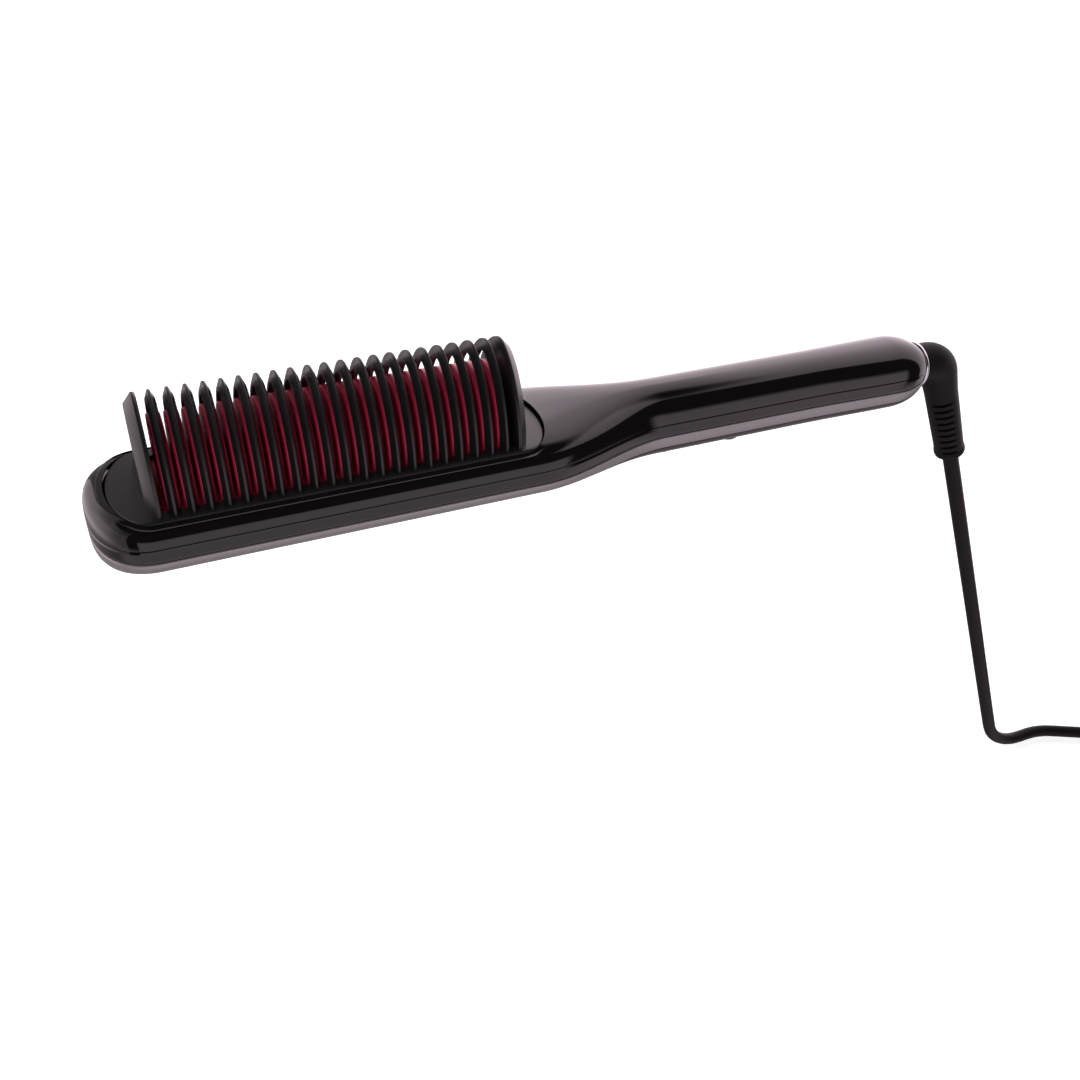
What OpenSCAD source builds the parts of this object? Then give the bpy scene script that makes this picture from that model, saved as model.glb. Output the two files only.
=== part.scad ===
// Heated straightening comb with a slim handle and a swivelling cord.
// The origin is in the middle of the grip, on the parting plane of the casing.
// +X runs along the handle towards the cord, +Z points out of the teeth.

/* [Comb] */
// Number of guard teeth, counting the two closed end walls
tooth_count = 23; // [9:1:25]
// Distance from tooth to tooth
tooth_pitch = 5; // [4.6:0.1:5.6]
// Thickness of a guard tooth along the comb
tooth_t = 2.8; // [2:0.1:3.2]
// How far the two end walls reach past their tooth
end_wall_extra = 1; // [0:0.1:3]
// Height of the teeth above the comb base
tooth_h = 29.4; // [20:0.2:34]
// Width over the two legs of a tooth at its foot
tooth_w = 38.8; // [34:0.2:40]
// Width of one leg at the foot
leg_w = 3.4; // [2.4:0.1:4.4]
// Thickness of the tooth over its crown
crown_t = 3.6; // [2.4:0.1:4.4]
// Roundness of the tooth outline, 2 is an ellipse
tooth_round = 1.75; // [1.6:0.05:2.4]
// Thickness that a guard tooth narrows to at its top
tooth_edge = 1.1; // [0.8:0.1:2]
// Thickness of a heating fin along the comb
fin_t = 4; // [2:0.1:4.2]
// How far the fins stay under the crowns of the teeth
fin_drop = 4.4; // [2:0.2:8]
// Gap between a fin and the legs beside it
fin_gap = 0.8; // [0.4:0.1:2]

/* [Comb base] */
// Length of the base past the first and the last tooth
base_margin = 12.5; // [11:0.5:18]
// Width of the base
base_w = 41; // [40:0.5:43]
// Length of each rounded end of the base
base_round = 11.5; // [8:0.5:12.5]
// Height of the top of the base over the parting plane
base_top = 6.6; // [6:0.1:8]
// Depth of the base, from its top to its underside
base_depth = 5.2; // [4:0.1:6]

/* [Head] */
// Width of the head at its widest line
head_w = 49; // [47:0.5:56]
// Height of the head's crown over the parting plane
head_top = 7.7; // [7:0.1:9]
// Depth of the head under the parting plane
head_drop = 12.4; // [12:0.2:18]
// Rim of the casing past the comb base, up to the tip
nose_rim = 6.5; // [5:0.5:14]
// Length over which the nose is rounded
nose_l = 18; // [14:0.5:26]

/* [Neck and handle] */
// Distance from the middle of the grip to the middle of the comb
grip_to_comb = 160; // [150:1:190]
// Distance from the last tooth to the start of the neck
neck_start = 6; // [3:0.5:12]
// Length of the neck, where the casing narrows
neck_l = 51; // [40:1:60]
// Width of the handle in the middle of the grip
grip_w = 24; // [23:0.5:30]
// Extra width of the handle near its cord end
grip_flare = 2.6; // [0:0.2:4]
// Height of the handle over the parting plane
grip_top = 10.2; // [9.6:0.1:13]
// Depth of the handle under the parting plane
grip_drop = 15.8; // [15.2:0.1:19]
// Distance from the middle of the grip to the end of the casing
grip_to_end = 64; // [62:1:80]
// Length over which the cord end of the handle is rounded
end_round_l = 14; // [10:0.5:18]

/* [Casing] */
// Wall of the casing
wall = 2.2; // [1.8:0.1:2.6]
// Thickness of the solid block at the cord end
end_block = 10; // [8:0.5:12]
// Gap along the parting line between the covers
seam_gap = 0.2; // [0.1:0.05:0.4]
// The widest line lies this far under the parting plane
widest_drop = 2.3; // [1.5:0.1:3]
// Top edge of the pale trim, under the parting plane
trim_top = 4.6; // [4:0.1:6]
// Height of the pale trim
trim_h = 5.4; // [3:0.1:6]
// Depth of the groove that holds the trim
trim_t = 1; // [0.6:0.1:1.2]
// Clearance of a fixed piece in its seat
seat_gap = 0.1; // [0.05:0.01:0.2]
// Clearance of the comb base in the upper cover
base_gap = 0.2; // [0.1:0.05:0.4]

/* [Controls] */
// Diameter of the power button
power_d = 9; // [7:0.5:10]
// Diameter of the plus and minus buttons
step_d = 7.6; // [6:0.2:8]
// Distance from the middle of the grip to the power button
power_at = 16; // [14:1:24]
// Distance between the buttons
button_pitch = 13.5; // [13:0.5:16]
// How far a button travels
button_travel = 0.5; // [0.3:0.1:0.6]
// How far a button stands out of the casing
button_proud = 0.8; // [0.4:0.1:1.4]
// Radial clearance of a button in its hole
button_gap = 0.25; // [0.15:0.05:0.4]
// Length of the display window
window_l = 17; // [10:0.5:20]
// Width of the display window
window_w = 9; // [6:0.5:11]

/* [Swivel] */
// Radius of the spigot that turns in the bush
spigot_r = 5; // [4:0.1:5.4]
// Radial clearance of the spigot in the bush
spigot_gap = 0.05; // [0.02:0.01:0.1]
// Outer radius of the bush
bush_r = 8; // [7:0.1:8.2]
// Outer radius of the bright end ring
ring_r = 9.3; // [8.6:0.1:10]
// Thickness of the bright end ring
ring_t = 1.4; // [0.8:0.1:2.4]
// Radius of the elbow where it leaves the handle
elbow_r = 7.9; // [7:0.1:8.6]
// Radius of the elbow's centre line
elbow_bend = 9; // [8:0.5:12]
// Distance from the end of the casing to the corner of the elbow
elbow_reach = 13; // [12.6:0.2:18]
// Radius of the strain relief at its free end
relief_r = 5.9; // [5:0.1:6.6]
// Number of slots on each side of the strain relief
slot_count = 9; // [3:1:10]
// Distance from slot to slot
slot_pitch = 3.4; // [2.6:0.05:3.6]
// Width of a slot
slot_w = 1.5; // [0.6:0.1:1.8]
// Angle by which the slots are turned about the relief
slot_turn = 34; // [0:1:60]

/* [Cord] */
// Diameter of the cord
cord_d = 6.4; // [5:0.1:6.5]
// Turns of the stored cord in each of the two layers of its hank
hank_turns = 1.75; // [0.75:0.5:2.25]
// Length of the straight runs of the hank
hank_run = 96; // [90:2:110]
// Distance from turn to turn, and from layer to layer
hank_pitch = 6.6; // [6.55:0.05:7]
// Radius of the innermost fold, at the middle of the cord
fold_r = 19.2; // [18:0.2:22]
// Length of the plug body
plug_l = 30; // [24:1:40]
// Width of the plug body
plug_w = 24; // [20:1:30]

/* [Hidden] */
$fn = 48;

// How far a cut runs past the surface that it opens, and a joined shape into its neighbour
past = 1;
sink = 0.5;

// Places along the casing
comb_l = (tooth_count - 1) * tooth_pitch;
comb_x = -grip_to_comb;
base_l = comb_l + 2 * base_margin;
tip_x = comb_x - base_l / 2 - nose_rim;
nose_x = tip_x + nose_l;
neck_x = comb_x + comb_l / 2 + neck_start;
end_x = grip_to_end;
flare_x = 10;
end_round_x = end_x - end_round_l;
mid_z = -widest_drop;

// Shape of the casing: exponents of its outlines, and how far the cord end is drawn in
head_round_up = 3.6;
head_round_down = 3.3;
grip_round = 2.3;
nose_plan = 2.2;
nose_side = 5;
end_shrink = 1.32;
tip_share = 0.07;
grip_places = [0.3, 0.6];
nose_steps = 9;
neck_steps = 9;
end_steps = 5;
up_steps = 16;
down_steps = 5;
in_steps = 12;

// Heights in the comb, worked down from the base
base_z = base_top - base_depth;
base_steps = 32;
foot_hw = tooth_w / 2;
inner_hw = foot_hw - leg_w;
open_l = comb_l - tooth_t;
arch_steps = 24;
tooth_taper = 5;
inner_steps = 18;
plate_inset = 0.3;
plate_z = base_z + plate_inset;
plate_t = 3.8;
plate_top = plate_z + plate_t;
fin_round = 2.2;
fin_steps = 16;
bar_t = 2.4;
bar_gap = 6;
bar_inset = 1;
bar_margin = 4;
bar_l = (open_l - 2 * base_gap - bar_gap) / 2 - bar_inset;
bar_w = 2 * (inner_hw - bar_margin);
bar_top = plate_z - seat_gap;
mica_t = 0.4;
mica_margin = 1.5;
mica_top = bar_top - bar_t - seat_gap;
clamp_t = 0.8;
clamp_margin = 3.5;
clamp_rim = 2;
clamp_top = mica_top - mica_t - seat_gap;
clamp_z = clamp_top - clamp_t;
sensor_r = 1.1;
sensor_l = 12;
fuse_r = 1.6;
fuse_l = 11;
fuse_at = 12;

// Screws
screw_gap = 0.05;
screw_clear = 0.3;
screw_r = 1.1;
screw_head_r = 2.3;
screw_head_t = 1.6;
screw_bite = 7;
screw_room = 1;
socket_r = 0.9;
socket_depth = 0.9;
boss_r = 3;
tower_r = 4;
head_sink = 3.4;
boss_from_end = 7.5;
boss_from_side = 10;
guard_boss_x = base_l / 2 - boss_from_end;
guard_boss_y = base_w / 2 - boss_from_side;
case_screw_x = [14, 28];
case_joint_z = -8;

// Controls, worked up from the underside of the handle
underside_z = -grip_drop;
seat_face = 0.3;
flange_seat = underside_z + wall + seat_face;
flange_t = 0.8;
flange_extra = 1;
stem_r = 1.5;
stem_gap = 0.1;
stem_room = 0.3;
stem_depth = 1;
cap_chamfer = 0.6;
switch_w = 6;
switch_h = 3.1;
switch_room = 0.2;
switch_z = flange_seat + seat_gap + flange_t + button_travel + switch_room;
board_z = switch_z + switch_h;
board_t = 1.2;
board_w = 15;
button_x = [-power_at, -power_at - button_pitch, -power_at - 2 * button_pitch];
window_from_button = 18;
window_corner = 2;
window_sink = 0.7;
window_t = 1.8;
window_x = button_x[2] - window_from_button;
board_past_window = 14;
board_past_button = 12;
board_x0 = window_x - board_past_window;
board_x1 = button_x[0] + board_past_button;
board_top = board_z + board_t;
post_r = 1.8;
post_in = 3;
post_y = 5;
display_clear = 0.8;
relay = [12, 10, 6];
relay_at = 34;
capacitor_r = 4;
capacitor_h = 9;
capacitor_at = 52;
driver = [8, 8, 2];
driver_at = 20;
lead_r = 0.9;
lead_sides = 6;
lead_z = board_top + lead_r + seat_gap;
heater_lead_y = 3;
mains_lead_y = 5;
lead_foot = 12;

// Swivel
bush_x = end_x - end_block;
seat_r = bush_r + seat_gap;
seat_past = 8;
flange_r = bush_r - 1.2;
core_flange_t = 2.3;
core_tail_l = 11;
core_tail_r = 3;
core_reach = 4.5;
ring_rad = 3.6;
ring_w = 2;
ring_gap = 0.2;
ring_places = [3.4, 9.8];
spring_w = 3;
spring_t = 0.5;
block_t = 4;
block_w = 12;
block_h = 11;
block_low = 4;
block_foot_w = 5;
block_gap = 1;
core_x = bush_x - seat_gap - core_flange_t;
block_x = core_x - core_tail_l - block_gap - block_t;
boot_x = end_x + seat_gap + ring_t + ring_gap;
core_end = boot_x + core_reach;
corner_x = end_x + elbow_reach;
slot_web = 4.8;
slot_deep = 5.4;
slot_first = 4;

// Route of the cord, set out by hand: out of the relief, down, and along the surface towards the hank
cord_route = [[98.2, 0, -47.6], [101.8, 0, -55.3], [109.05, 0, -70.7], [115.85, 0, -85.2],
    [122.55, 0, -99.5], [129.35, 0, -114], [136.15, 0, -128.5], [142.85, 0, -142.8], [149.65, 0, -157.3],
    [156.45, 0, -171.8], [163.15, 0, -186.2], [169.95, 0, -200.7], [176.65, 0, -215], [183.45, 0, -229.5],
    [188, 0, -239.1], [192.1, 0, -247.6], [196.1, 0, -253.7], [201.3, 0, -258.8], [207.5, 0, -262.7],
    [214.2, 0, -265.2], [221.4, 0, -266], [226, 0, -266], [231.4, -0.4, -266], [236.6, -1.6, -266],
    [241.5, -3.5, -266], [257.6, -11.2, -266], [273.7, -18.9, -266]];
approach_r = 33.5;
approach_turn = 25.6;
hank_x = 315.6;
hank_steps = 24;
run_steps = 2;
hank_sides = 6;
cord_sides = 10;
hank_out_r = fold_r + hank_turns * hank_pitch;
tail_l = 22;
tie_gap = 0.4;
tie_t = 1.2;
tie_w = 10;
tie_corner = 3;
tie_from_fold = 14;
plug_relief_l = 16;
plug_relief_r = [4, 5.6];
plug_corner = 5;
blade = [16, 1.5, 6.35];
blade_pitch = 12.7;
blade_hole_r = 1.6;
blade_hole_in = 4.3;

cord_r = cord_d / 2;
cord_z = cord_route[len(cord_route) - 1][2];
plug_h = 2 * (hank_pitch + cord_r);
plug_y = -(fold_r + hank_out_r) / 2;
plug_z = cord_z + hank_pitch + cord_r + seat_gap + plug_h / 2;
boot_end = cord_route[0];
boot_tilt = atan2(boot_end[0] - corner_x, mid_z - boot_end[2]);
leg_l = norm([boot_end[0] - corner_x, boot_end[2] - mid_z]);
bend_reach = elbow_bend * tan((90 - boot_tilt) / 2);

// ---- Functions ----

function mix(a, b, t) = a + (b - a) * t;
function smooth(t) = let (u = min(max(t, 0), 1)) u * u * (3 - 2 * u);

// Superellipse: the share of one half axis at a share t of the other
function bow(t, n) = pow(max(0, 1 - pow(min(abs(t), 1), n)), 1 / n);

function neck_share(x) = smooth((x - neck_x) / neck_l);
function flare(x) = grip_flare / 2 * smooth((x - flare_x) / (end_x - 2 * flare_x));
function half_w(x) = mix(head_w, grip_w, neck_share(x)) / 2 + flare(x);
function rise(x) = mix(head_top, grip_top, neck_share(x)) + widest_drop;
function drop(x) = mix(head_drop, grip_drop, neck_share(x)) - widest_drop;
function round_up(x) = mix(head_round_up, grip_round, neck_share(x));
function round_down(x) = mix(head_round_down, grip_round, neck_share(x));

// Stations along the casing: [x, share of the width, share of the height]
function nose_station(s) =
    let (u = 1 - s * s)
    [tip_x + nose_l * s * s, bow(u, nose_plan), bow(u, nose_side)];
function end_station(s) =
    let (f = bow(s / end_shrink, nose_plan))
    [mix(end_round_x, end_x, s), f, f];
function pos_x(st, inset_a, inset_b) =
    mix(tip_x + inset_a, end_x - inset_b, (st[0] - tip_x) / (end_x - tip_x));

stations = concat(
    [for (i = [0 : nose_steps - 1]) nose_station(mix(tip_share, 1, i / (nose_steps - 1)))],
    [for (i = [0 : neck_steps]) [neck_x + neck_l * i / neck_steps, 1, 1]],
    [for (t = grip_places) [mix(neck_x + neck_l, end_round_x, t), 1, 1]],
    [for (i = [0 : end_steps]) end_station(i / end_steps)]);

// A point of the upper cover at the station, inset by w; t runs from one rim to the other
function up_point(st, w, inset_a, inset_b, t) =
    let (a = (half_w(st[0]) - w) * st[1],
         h = (rise(st[0]) - w) * st[2],
         n = round_up(st[0]),
         low = asin(pow((widest_drop + seam_gap / 2) / h, n / 2)),
         phi = mix(low, 180 - low, t),
         c = cos(phi))
    [pos_x(st, inset_a, inset_b), a * sign(c) * pow(abs(c), 2 / n), mid_z + h * pow(sin(phi), 2 / n)];

// The rim of the lower cover, on the same curve as the upper cover, just under the parting plane
function rim_point(st, w, inset_a, inset_b, side) =
    let (a = (half_w(st[0]) - w) * st[1],
         h = (rise(st[0]) - w) * st[2])
    [pos_x(st, inset_a, inset_b), side * a * bow((widest_drop - seam_gap / 2) / h, round_up(st[0])),
        -seam_gap / 2];

// A point under the widest line, at a share r of the depth there
function down_point(st, w, inset_a, inset_b, r, side, groove) =
    let (a = (half_w(st[0]) - w - groove) * st[1],
         d = (drop(st[0]) - w) * st[2],
         n = round_down(st[0]))
    [pos_x(st, inset_a + groove, inset_b + groove), side * a * bow(r, n), mid_z - d * r];

function trim_share(x, depth) = (depth - widest_drop) / drop(x);
function trim_hi(x) = trim_share(x, trim_top);
function trim_lo(x) = trim_share(x, trim_top + trim_h);

// Outline of the lower cover on one side, from the rim down to just before the middle
function down_side(st, side) =
    let (x = st[0], hi = trim_hi(x), lo = trim_lo(x), phi = asin(lo))
    concat([rim_point(st, 0, 0, 0, side)],
        [down_point(st, 0, 0, 0, 0, side, 0), down_point(st, 0, 0, 0, hi, side, 0)],
        [for (r = [hi, (hi + lo) / 2, lo]) down_point(st, 0, 0, 0, r, side, trim_t)],
        [for (k = [0 : down_steps - 1])
            down_point(st, 0, 0, 0, sin(mix(phi, 90, k / down_steps)), side, 0)]);

function backwards(list) = [for (i = [len(list) - 1 : -1 : 0]) list[i]];

function down_ring(st) =
    concat(down_side(st, 1), [down_point(st, 0, 0, 0, 1, 0, 0)], backwards(down_side(st, -1)));

function down_inner(st) =
    let (side_steps = in_steps / 2)
    concat([rim_point(st, wall, wall, end_block, 1)],
        [for (k = [0 : side_steps - 1])
            down_point(st, wall, wall, end_block, sin(90 * k / side_steps), 1, 0)],
        [down_point(st, wall, wall, end_block, 1, 0, 0)],
        [for (k = [side_steps - 1 : -1 : 0])
            down_point(st, wall, wall, end_block, sin(90 * k / side_steps), -1, 0)],
        [rim_point(st, wall, wall, end_block, -1)]);

// Faces of a grid of rows x cols points that starts at point s
function grid_faces(s, rows, cols, flip) =
    [for (i = [0 : rows - 2], j = [0 : cols - 2])
        let (a = s + i * cols + j, b = a + 1, c = a + cols + 1, d = a + cols)
        each (flip ? [[a, c, b], [a, d, c]] : [[a, b, c], [a, c, d]])];

// Faces that close a row of points by joining each to its mirror image
function cap_faces(s, cols, flip) =
    [for (j = [0 : ceil(cols / 2) - 2])
        let (a = s + j, b = s + j + 1, c = s + cols - 2 - j, d = s + cols - 1 - j)
        each (b == c ? [flip ? [a, d, b] : [a, b, d]]
                     : (flip ? [[a, c, b], [a, d, c]] : [[a, b, c], [a, c, d]]))];

// Faces of the two flat rims between an outer and an inner grid, and across both ends
function rim_faces(o, oc, n, nc, rows, flip) =
    let (last = rows - 1)
    [for (f = concat(
        [for (i = [0 : rows - 2], e = [0, 1])
            let (p = o + i * oc + e * (oc - 1), q = p + oc,
                 r = n + i * nc + e * (nc - 1), t = r + nc)
            each (e == 0 ? [[p, q, t], [p, t, r]] : [[q, p, r], [q, r, t]])],
        [[o, n + nc - 1, o + oc - 1], [o, n, n + nc - 1]],
        let (oz = o + last * oc, nz = n + last * nc)
        [[oz, oz + oc - 1, nz + nc - 1], [oz, nz + nc - 1, nz]]))
        flip ? [f[0], f[2], f[1]] : f];

// An open shell from an outer and an inner grid of points
module shell(outer, inner, flip) {
    rows = len(outer);
    oc = len(outer[0]);
    nc = len(inner[0]);
    n0 = rows * oc;
    points = concat([for (r = outer) each r], [for (r = inner) each r]);
    faces = concat(
        grid_faces(0, rows, oc, flip),
        cap_faces(0, oc, !flip),
        cap_faces((rows - 1) * oc, oc, flip),
        grid_faces(n0, rows, nc, !flip),
        cap_faces(n0, nc, flip),
        cap_faces(n0 + (rows - 1) * nc, nc, !flip),
        rim_faces(0, oc, n0, nc, rows, flip));
    polyhedron(points, faces, convexity = 6);
}

// A solid through a row of closed loops with the same number of points
module skin(loops) {
    m = len(loops[0]);
    k = len(loops);
    points = [for (l = loops) each l];
    faces = concat(
        [for (i = [0 : k - 2], j = [0 : m - 1])
            let (a = i * m + j, b = i * m + (j + 1) % m, c = b + m, d = a + m)
            each [[a, c, b], [a, d, c]]],
        [for (j = [1 : m - 2]) [0, j, j + 1]],
        [for (j = [1 : m - 2]) let (s = (k - 1) * m) [s, s + j + 1, s + j]]);
    polyhedron(points, faces, convexity = 8);
}

// Tube along a path, with rings square to it and sides that don't twist
function unit(v) = v / norm(v);
function heading(path, i) =
    let (n = len(path) - 1)
    unit(i == 0 ? path[1] - path[0] : i == n ? path[n] - path[n - 1]
        : unit(path[i + 1] - path[i]) + unit(path[i] - path[i - 1]));
function tube_ring(path, i, r, sides) =
    let (t = heading(path, i),
         ref = abs(t[2]) > 0.95 ? [1, 0, 0] : [0, 0, 1],
         u = unit(cross(t, ref)),
         v = cross(u, t))
    [for (k = [0 : sides - 1]) path[i] + r * (cos(360 * k / sides) * u + sin(360 * k / sides) * v)];

module tube(path, r, sides) {
    tapered_tube(path, [for (p = path) r], sides);
}

// The same with a radius for each ring
module tapered_tube(path, radii, sides) {
    k = len(path);
    points = [for (i = [0 : k - 1]) each tube_ring(path, i, radii[i], sides)];
    faces = concat(
        [for (i = [0 : k - 2], j = [0 : sides - 1])
            let (a = i * sides + j, b = i * sides + (j + 1) % sides, c = b + sides, d = a + sides)
            each [[a, b, c], [a, c, d]]],
        [[for (j = [sides - 1 : -1 : 0]) j]],
        [[for (j = [0 : sides - 1]) (k - 1) * sides + j]]);
    polyhedron(points, faces, convexity = 10);
}

// Outline of a tooth or fin in its own plane: half width w, height h, exponent n
function arch(w, h, n, steps) =
    [for (k = [0 : steps])
        let (phi = 180 * k / steps, c = cos(phi))
        [w * sign(c) * pow(abs(c), 2 / n), h * pow(sin(phi), 2 / n)]];

// Stands an outline in the Y-Z plane, t thick, with its middle at x
module upright(x, t) {
    translate([x - t / 2, 0, 0])
        rotate([90, 0, 90])
            linear_extrude(height = t) children();
}

// Rounded rectangle with true arcs
module round_rect(l, w, r) {
    square([l - 2 * r, w], center = true);
    square([l, w - 2 * r], center = true);
    for (sx = [-1, 1], sy = [-1, 1])
        translate([sx * (l / 2 - r), sy * (w / 2 - r)]) circle(r);
}

// Plan of the comb base, larger by extra all round: straight sides and half an ellipse at each end
module base_plan(extra) {
    polygon([for (side = [1, -1], k = [0 : base_steps])
        let (a = 180 * k / base_steps - 90)
        side * [base_l / 2 - base_round + (base_round + extra) * cos(a), (base_w / 2 + extra) * sin(a)]]);
}

// Turned piece along X from x0, l long
module bar_x(x0, l, r) {
    translate([x0, 0, mid_z]) rotate([0, 90, 0]) cylinder(h = l, r = r);
}

// Seat of the bush, with room behind it for the flange of the core
module bush_seat() {
    bar_x(bush_x - seat_past, seat_past + end_block + past, seat_r);
}

module at_guard_bosses() {
    for (sx = [-1, 1], sy = [-1, 1])
        translate([comb_x + sx * guard_boss_x, sy * guard_boss_y, 0]) children();
}

// ---- Casing ----

// Top of the casing, with the opening for the comb base and two screw bosses
module upper_cover() {
    color("#151315") difference() {
        union() {
            shell([for (st = stations) [for (k = [0 : up_steps]) up_point(st, 0, 0, 0, k / up_steps)]],
                [for (st = stations) [for (k = [0 : in_steps])
                    up_point(st, wall, wall, end_block, k / in_steps)]], true);
            for (x = case_screw_x)
                translate([x, 0, case_joint_z + seat_gap])
                    cylinder(h = grip_top - wall / 2 - case_joint_z, r = boss_r);
        }
        translate([comb_x, 0, -past])
            linear_extrude(height = head_top + 2 * past)
                base_plan(base_gap);
        for (x = case_screw_x)
            translate([x, 0, case_joint_z - past]) cylinder(h = screw_bite + past, r = screw_r + screw_gap);
        bush_seat();
    }
}

// Floor of the casing under a screw, where the outer surface lies
function floor_z(x) = mid_z - drop(x);

module screw_tower(x, top) {
    translate([x, 0, floor_z(x) + wall / 2]) cylinder(h = top - floor_z(x) - wall / 2, r = tower_r);
}

module screw_hole(x, top) {
    translate([x, 0, floor_z(x) - past]) {
        cylinder(h = top - floor_z(x) + 2 * past, r = screw_r + screw_clear);
        cylinder(h = head_sink + past, r = screw_head_r + screw_clear);
    }
}

// Bottom of the casing, with the groove for the trim, screw towers, and the holes for the controls
module lower_cover() {
    color("#1b191b") difference() {
        union() {
            shell([for (st = stations) down_ring(st)], [for (st = stations) down_inner(st)], false);
            for (x = case_screw_x) screw_tower(x, case_joint_z);
            for (sx = [-1, 1], sy = [-1, 1])
                translate([0, sy * guard_boss_y, 0])
                    screw_tower(comb_x + sx * guard_boss_x, clamp_z - seat_gap);
            for (x = [board_x0 + post_in, board_x1 - post_in], sy = [-1, 1])
                translate([x, sy * post_y, floor_z(x) + wall - sink])
                    cylinder(h = board_z - seat_gap - floor_z(x) - wall + sink, r = post_r);
        }
        for (x = case_screw_x) screw_hole(x, case_joint_z);
        for (sx = [-1, 1], sy = [-1, 1])
            translate([0, sy * guard_boss_y, 0]) screw_hole(comb_x + sx * guard_boss_x, clamp_z);
        for (i = [0 : 2]) {
            r = (i == 0 ? power_d : step_d) / 2;
            translate([button_x[i], 0, underside_z - past])
                cylinder(h = wall + seat_face + 2 * past, r = r + button_gap);
            translate([button_x[i], 0, flange_seat])
                cylinder(h = flange_t + 2 * past, r = r + flange_extra + button_gap);
        }
        translate([window_x, 0, floor_z(window_x) - past])
            linear_extrude(height = wall + 3 * past) round_rect(window_l, window_w, window_corner);
        bush_seat();
    }
}

// Pale band let into the groove round the lower cover
module trim_band() {
    function band_loop(st, side) =
        let (hi = trim_hi(st[0]), lo = trim_lo(st[0]), m = (hi + lo) / 2, e = seat_gap / drop(st[0]),
             g = trim_t - seat_gap)
        [for (p = [[hi + e, 0], [m, 0], [lo - e, 0], [lo - e, g], [m, g], [hi + e, g]])
            down_point(st, 0, 0, 0, p[0], side, p[1])];
    color("#9a9598") skin(concat(
        [for (st = backwards(stations)) band_loop(st, 1)],
        [for (st = stations) band_loop(st, -1)]));
}

// ---- Comb ----

// An upright outline as thick as a tooth, or thicker on one side, narrowed to an edge at its height h
module narrowed(h, extra) {
    low = min(extra, 0) - tooth_t / 2;
    high = max(extra, 0) + tooth_t / 2;
    intersection() {
        upright((low + high) / 2, high - low) children();
        translate([0, foot_hw, 0]) rotate([90, 0, 0]) linear_extrude(height = tooth_w)
            polygon([[low, 0], [high, 0], [high, h - tooth_taper], [tooth_edge / 2, h], [-tooth_edge / 2, h],
                [low, h - tooth_taper]]);
    }
}

// Heat-proof comb guard: a base let into the head, and a row of arches that keep the skin off the fins
module comb_guard() {
    color("#121112") difference() {
        union() {
            translate([comb_x, 0, base_z]) linear_extrude(height = base_depth) difference() {
                base_plan(0);
                square([open_l, 2 * inner_hw], center = true);
            }
            for (k = [1 : tooth_count - 2])
                translate([comb_x - comb_l / 2 + k * tooth_pitch, 0, base_top - past])
                    narrowed(tooth_h + past, 0)
                        polygon(concat(arch(foot_hw, tooth_h + past, tooth_round, arch_steps),
                            backwards(arch(inner_hw, tooth_h + past - crown_t, tooth_round, inner_steps))));
            for (side = [-1, 1])
                translate([comb_x + side * comb_l / 2, 0, base_top - past])
                    narrowed(tooth_h + past, side * end_wall_extra)
                        polygon(arch(foot_hw, tooth_h + past, tooth_round, arch_steps));
            at_guard_bosses() translate([0, 0, clamp_top + seat_gap])
                cylinder(h = base_z - clamp_top, r = boss_r);
        }
        at_guard_bosses() translate([0, 0, clamp_top - past])
            cylinder(h = screw_bite + past, r = screw_r + screw_gap);
    }
}

// Anodised aluminium heating plate with a fin under every arch
module heating_plate() {
    fin_hw = inner_hw - fin_gap;
    fin_h = base_top + tooth_h - crown_t - fin_drop - plate_top;
    color("#7a1226") {
        translate([comb_x, 0, plate_z])
            linear_extrude(height = plate_t)
                square([open_l - 2 * base_gap, 2 * (inner_hw - base_gap)], center = true);
        for (k = [1 : tooth_count - 2])
            translate([0, 0, plate_top - sink]) upright(comb_x - comb_l / 2 + k * tooth_pitch, fin_t)
                polygon(arch(fin_hw, fin_h + sink, fin_round, fin_steps));
    }
}

// Two ceramic heater bars under the plate
module heater_bars() {
    color("#e8e2d4") for (side = [-1, 1])
        translate([comb_x + side * (bar_gap + bar_l) / 2, 0, bar_top - bar_t / 2])
            cube([bar_l, bar_w, bar_t], center = true);
}

// Mica sheet between the bars and their clamp
module mica_sheet() {
    color("#c9b98a") translate([comb_x, 0, mica_top - mica_t / 2])
        cube([2 * bar_l + bar_gap, bar_w + 2 * mica_margin, mica_t], center = true);
}

// Spring steel clamp that presses the bars to the plate, held by the guard screws
module heater_clamp() {
    clamp_l = 2 * (guard_boss_x + clamp_margin);
    clamp_w = 2 * (guard_boss_y + clamp_margin);
    color("#b9bcc0") difference() {
        union() {
            translate([comb_x, 0, clamp_top - clamp_t / 2]) cube([clamp_l, clamp_w, clamp_t], center = true);
            for (side = [-1, 1])
                translate([comb_x, side * (clamp_w - clamp_t) / 2, clamp_top - (clamp_t + clamp_rim) / 2])
                    cube([2 * bar_l, clamp_t, clamp_t + clamp_rim], center = true);
        }
        at_guard_bosses() translate([0, 0, clamp_z - past])
            cylinder(h = clamp_t + 2 * past, r = screw_r + screw_clear);
    }
}

// Glass-bead temperature sensor between the bars
module temperature_sensor() {
    color("#3a2a20") translate([comb_x, -sensor_l / 2, plate_z - seat_gap - sensor_r])
        rotate([-90, 0, 0]) cylinder(h = sensor_l, r = sensor_r);
}

// One-shot thermal fuse under the clamp
module thermal_fuse() {
    color("#c8ccd0") translate([comb_x + fuse_at, 0, clamp_z - seat_gap - fuse_r])
        rotate([0, 90, 0]) cylinder(h = fuse_l, r = fuse_r);
}

// ---- Screws ----

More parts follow.
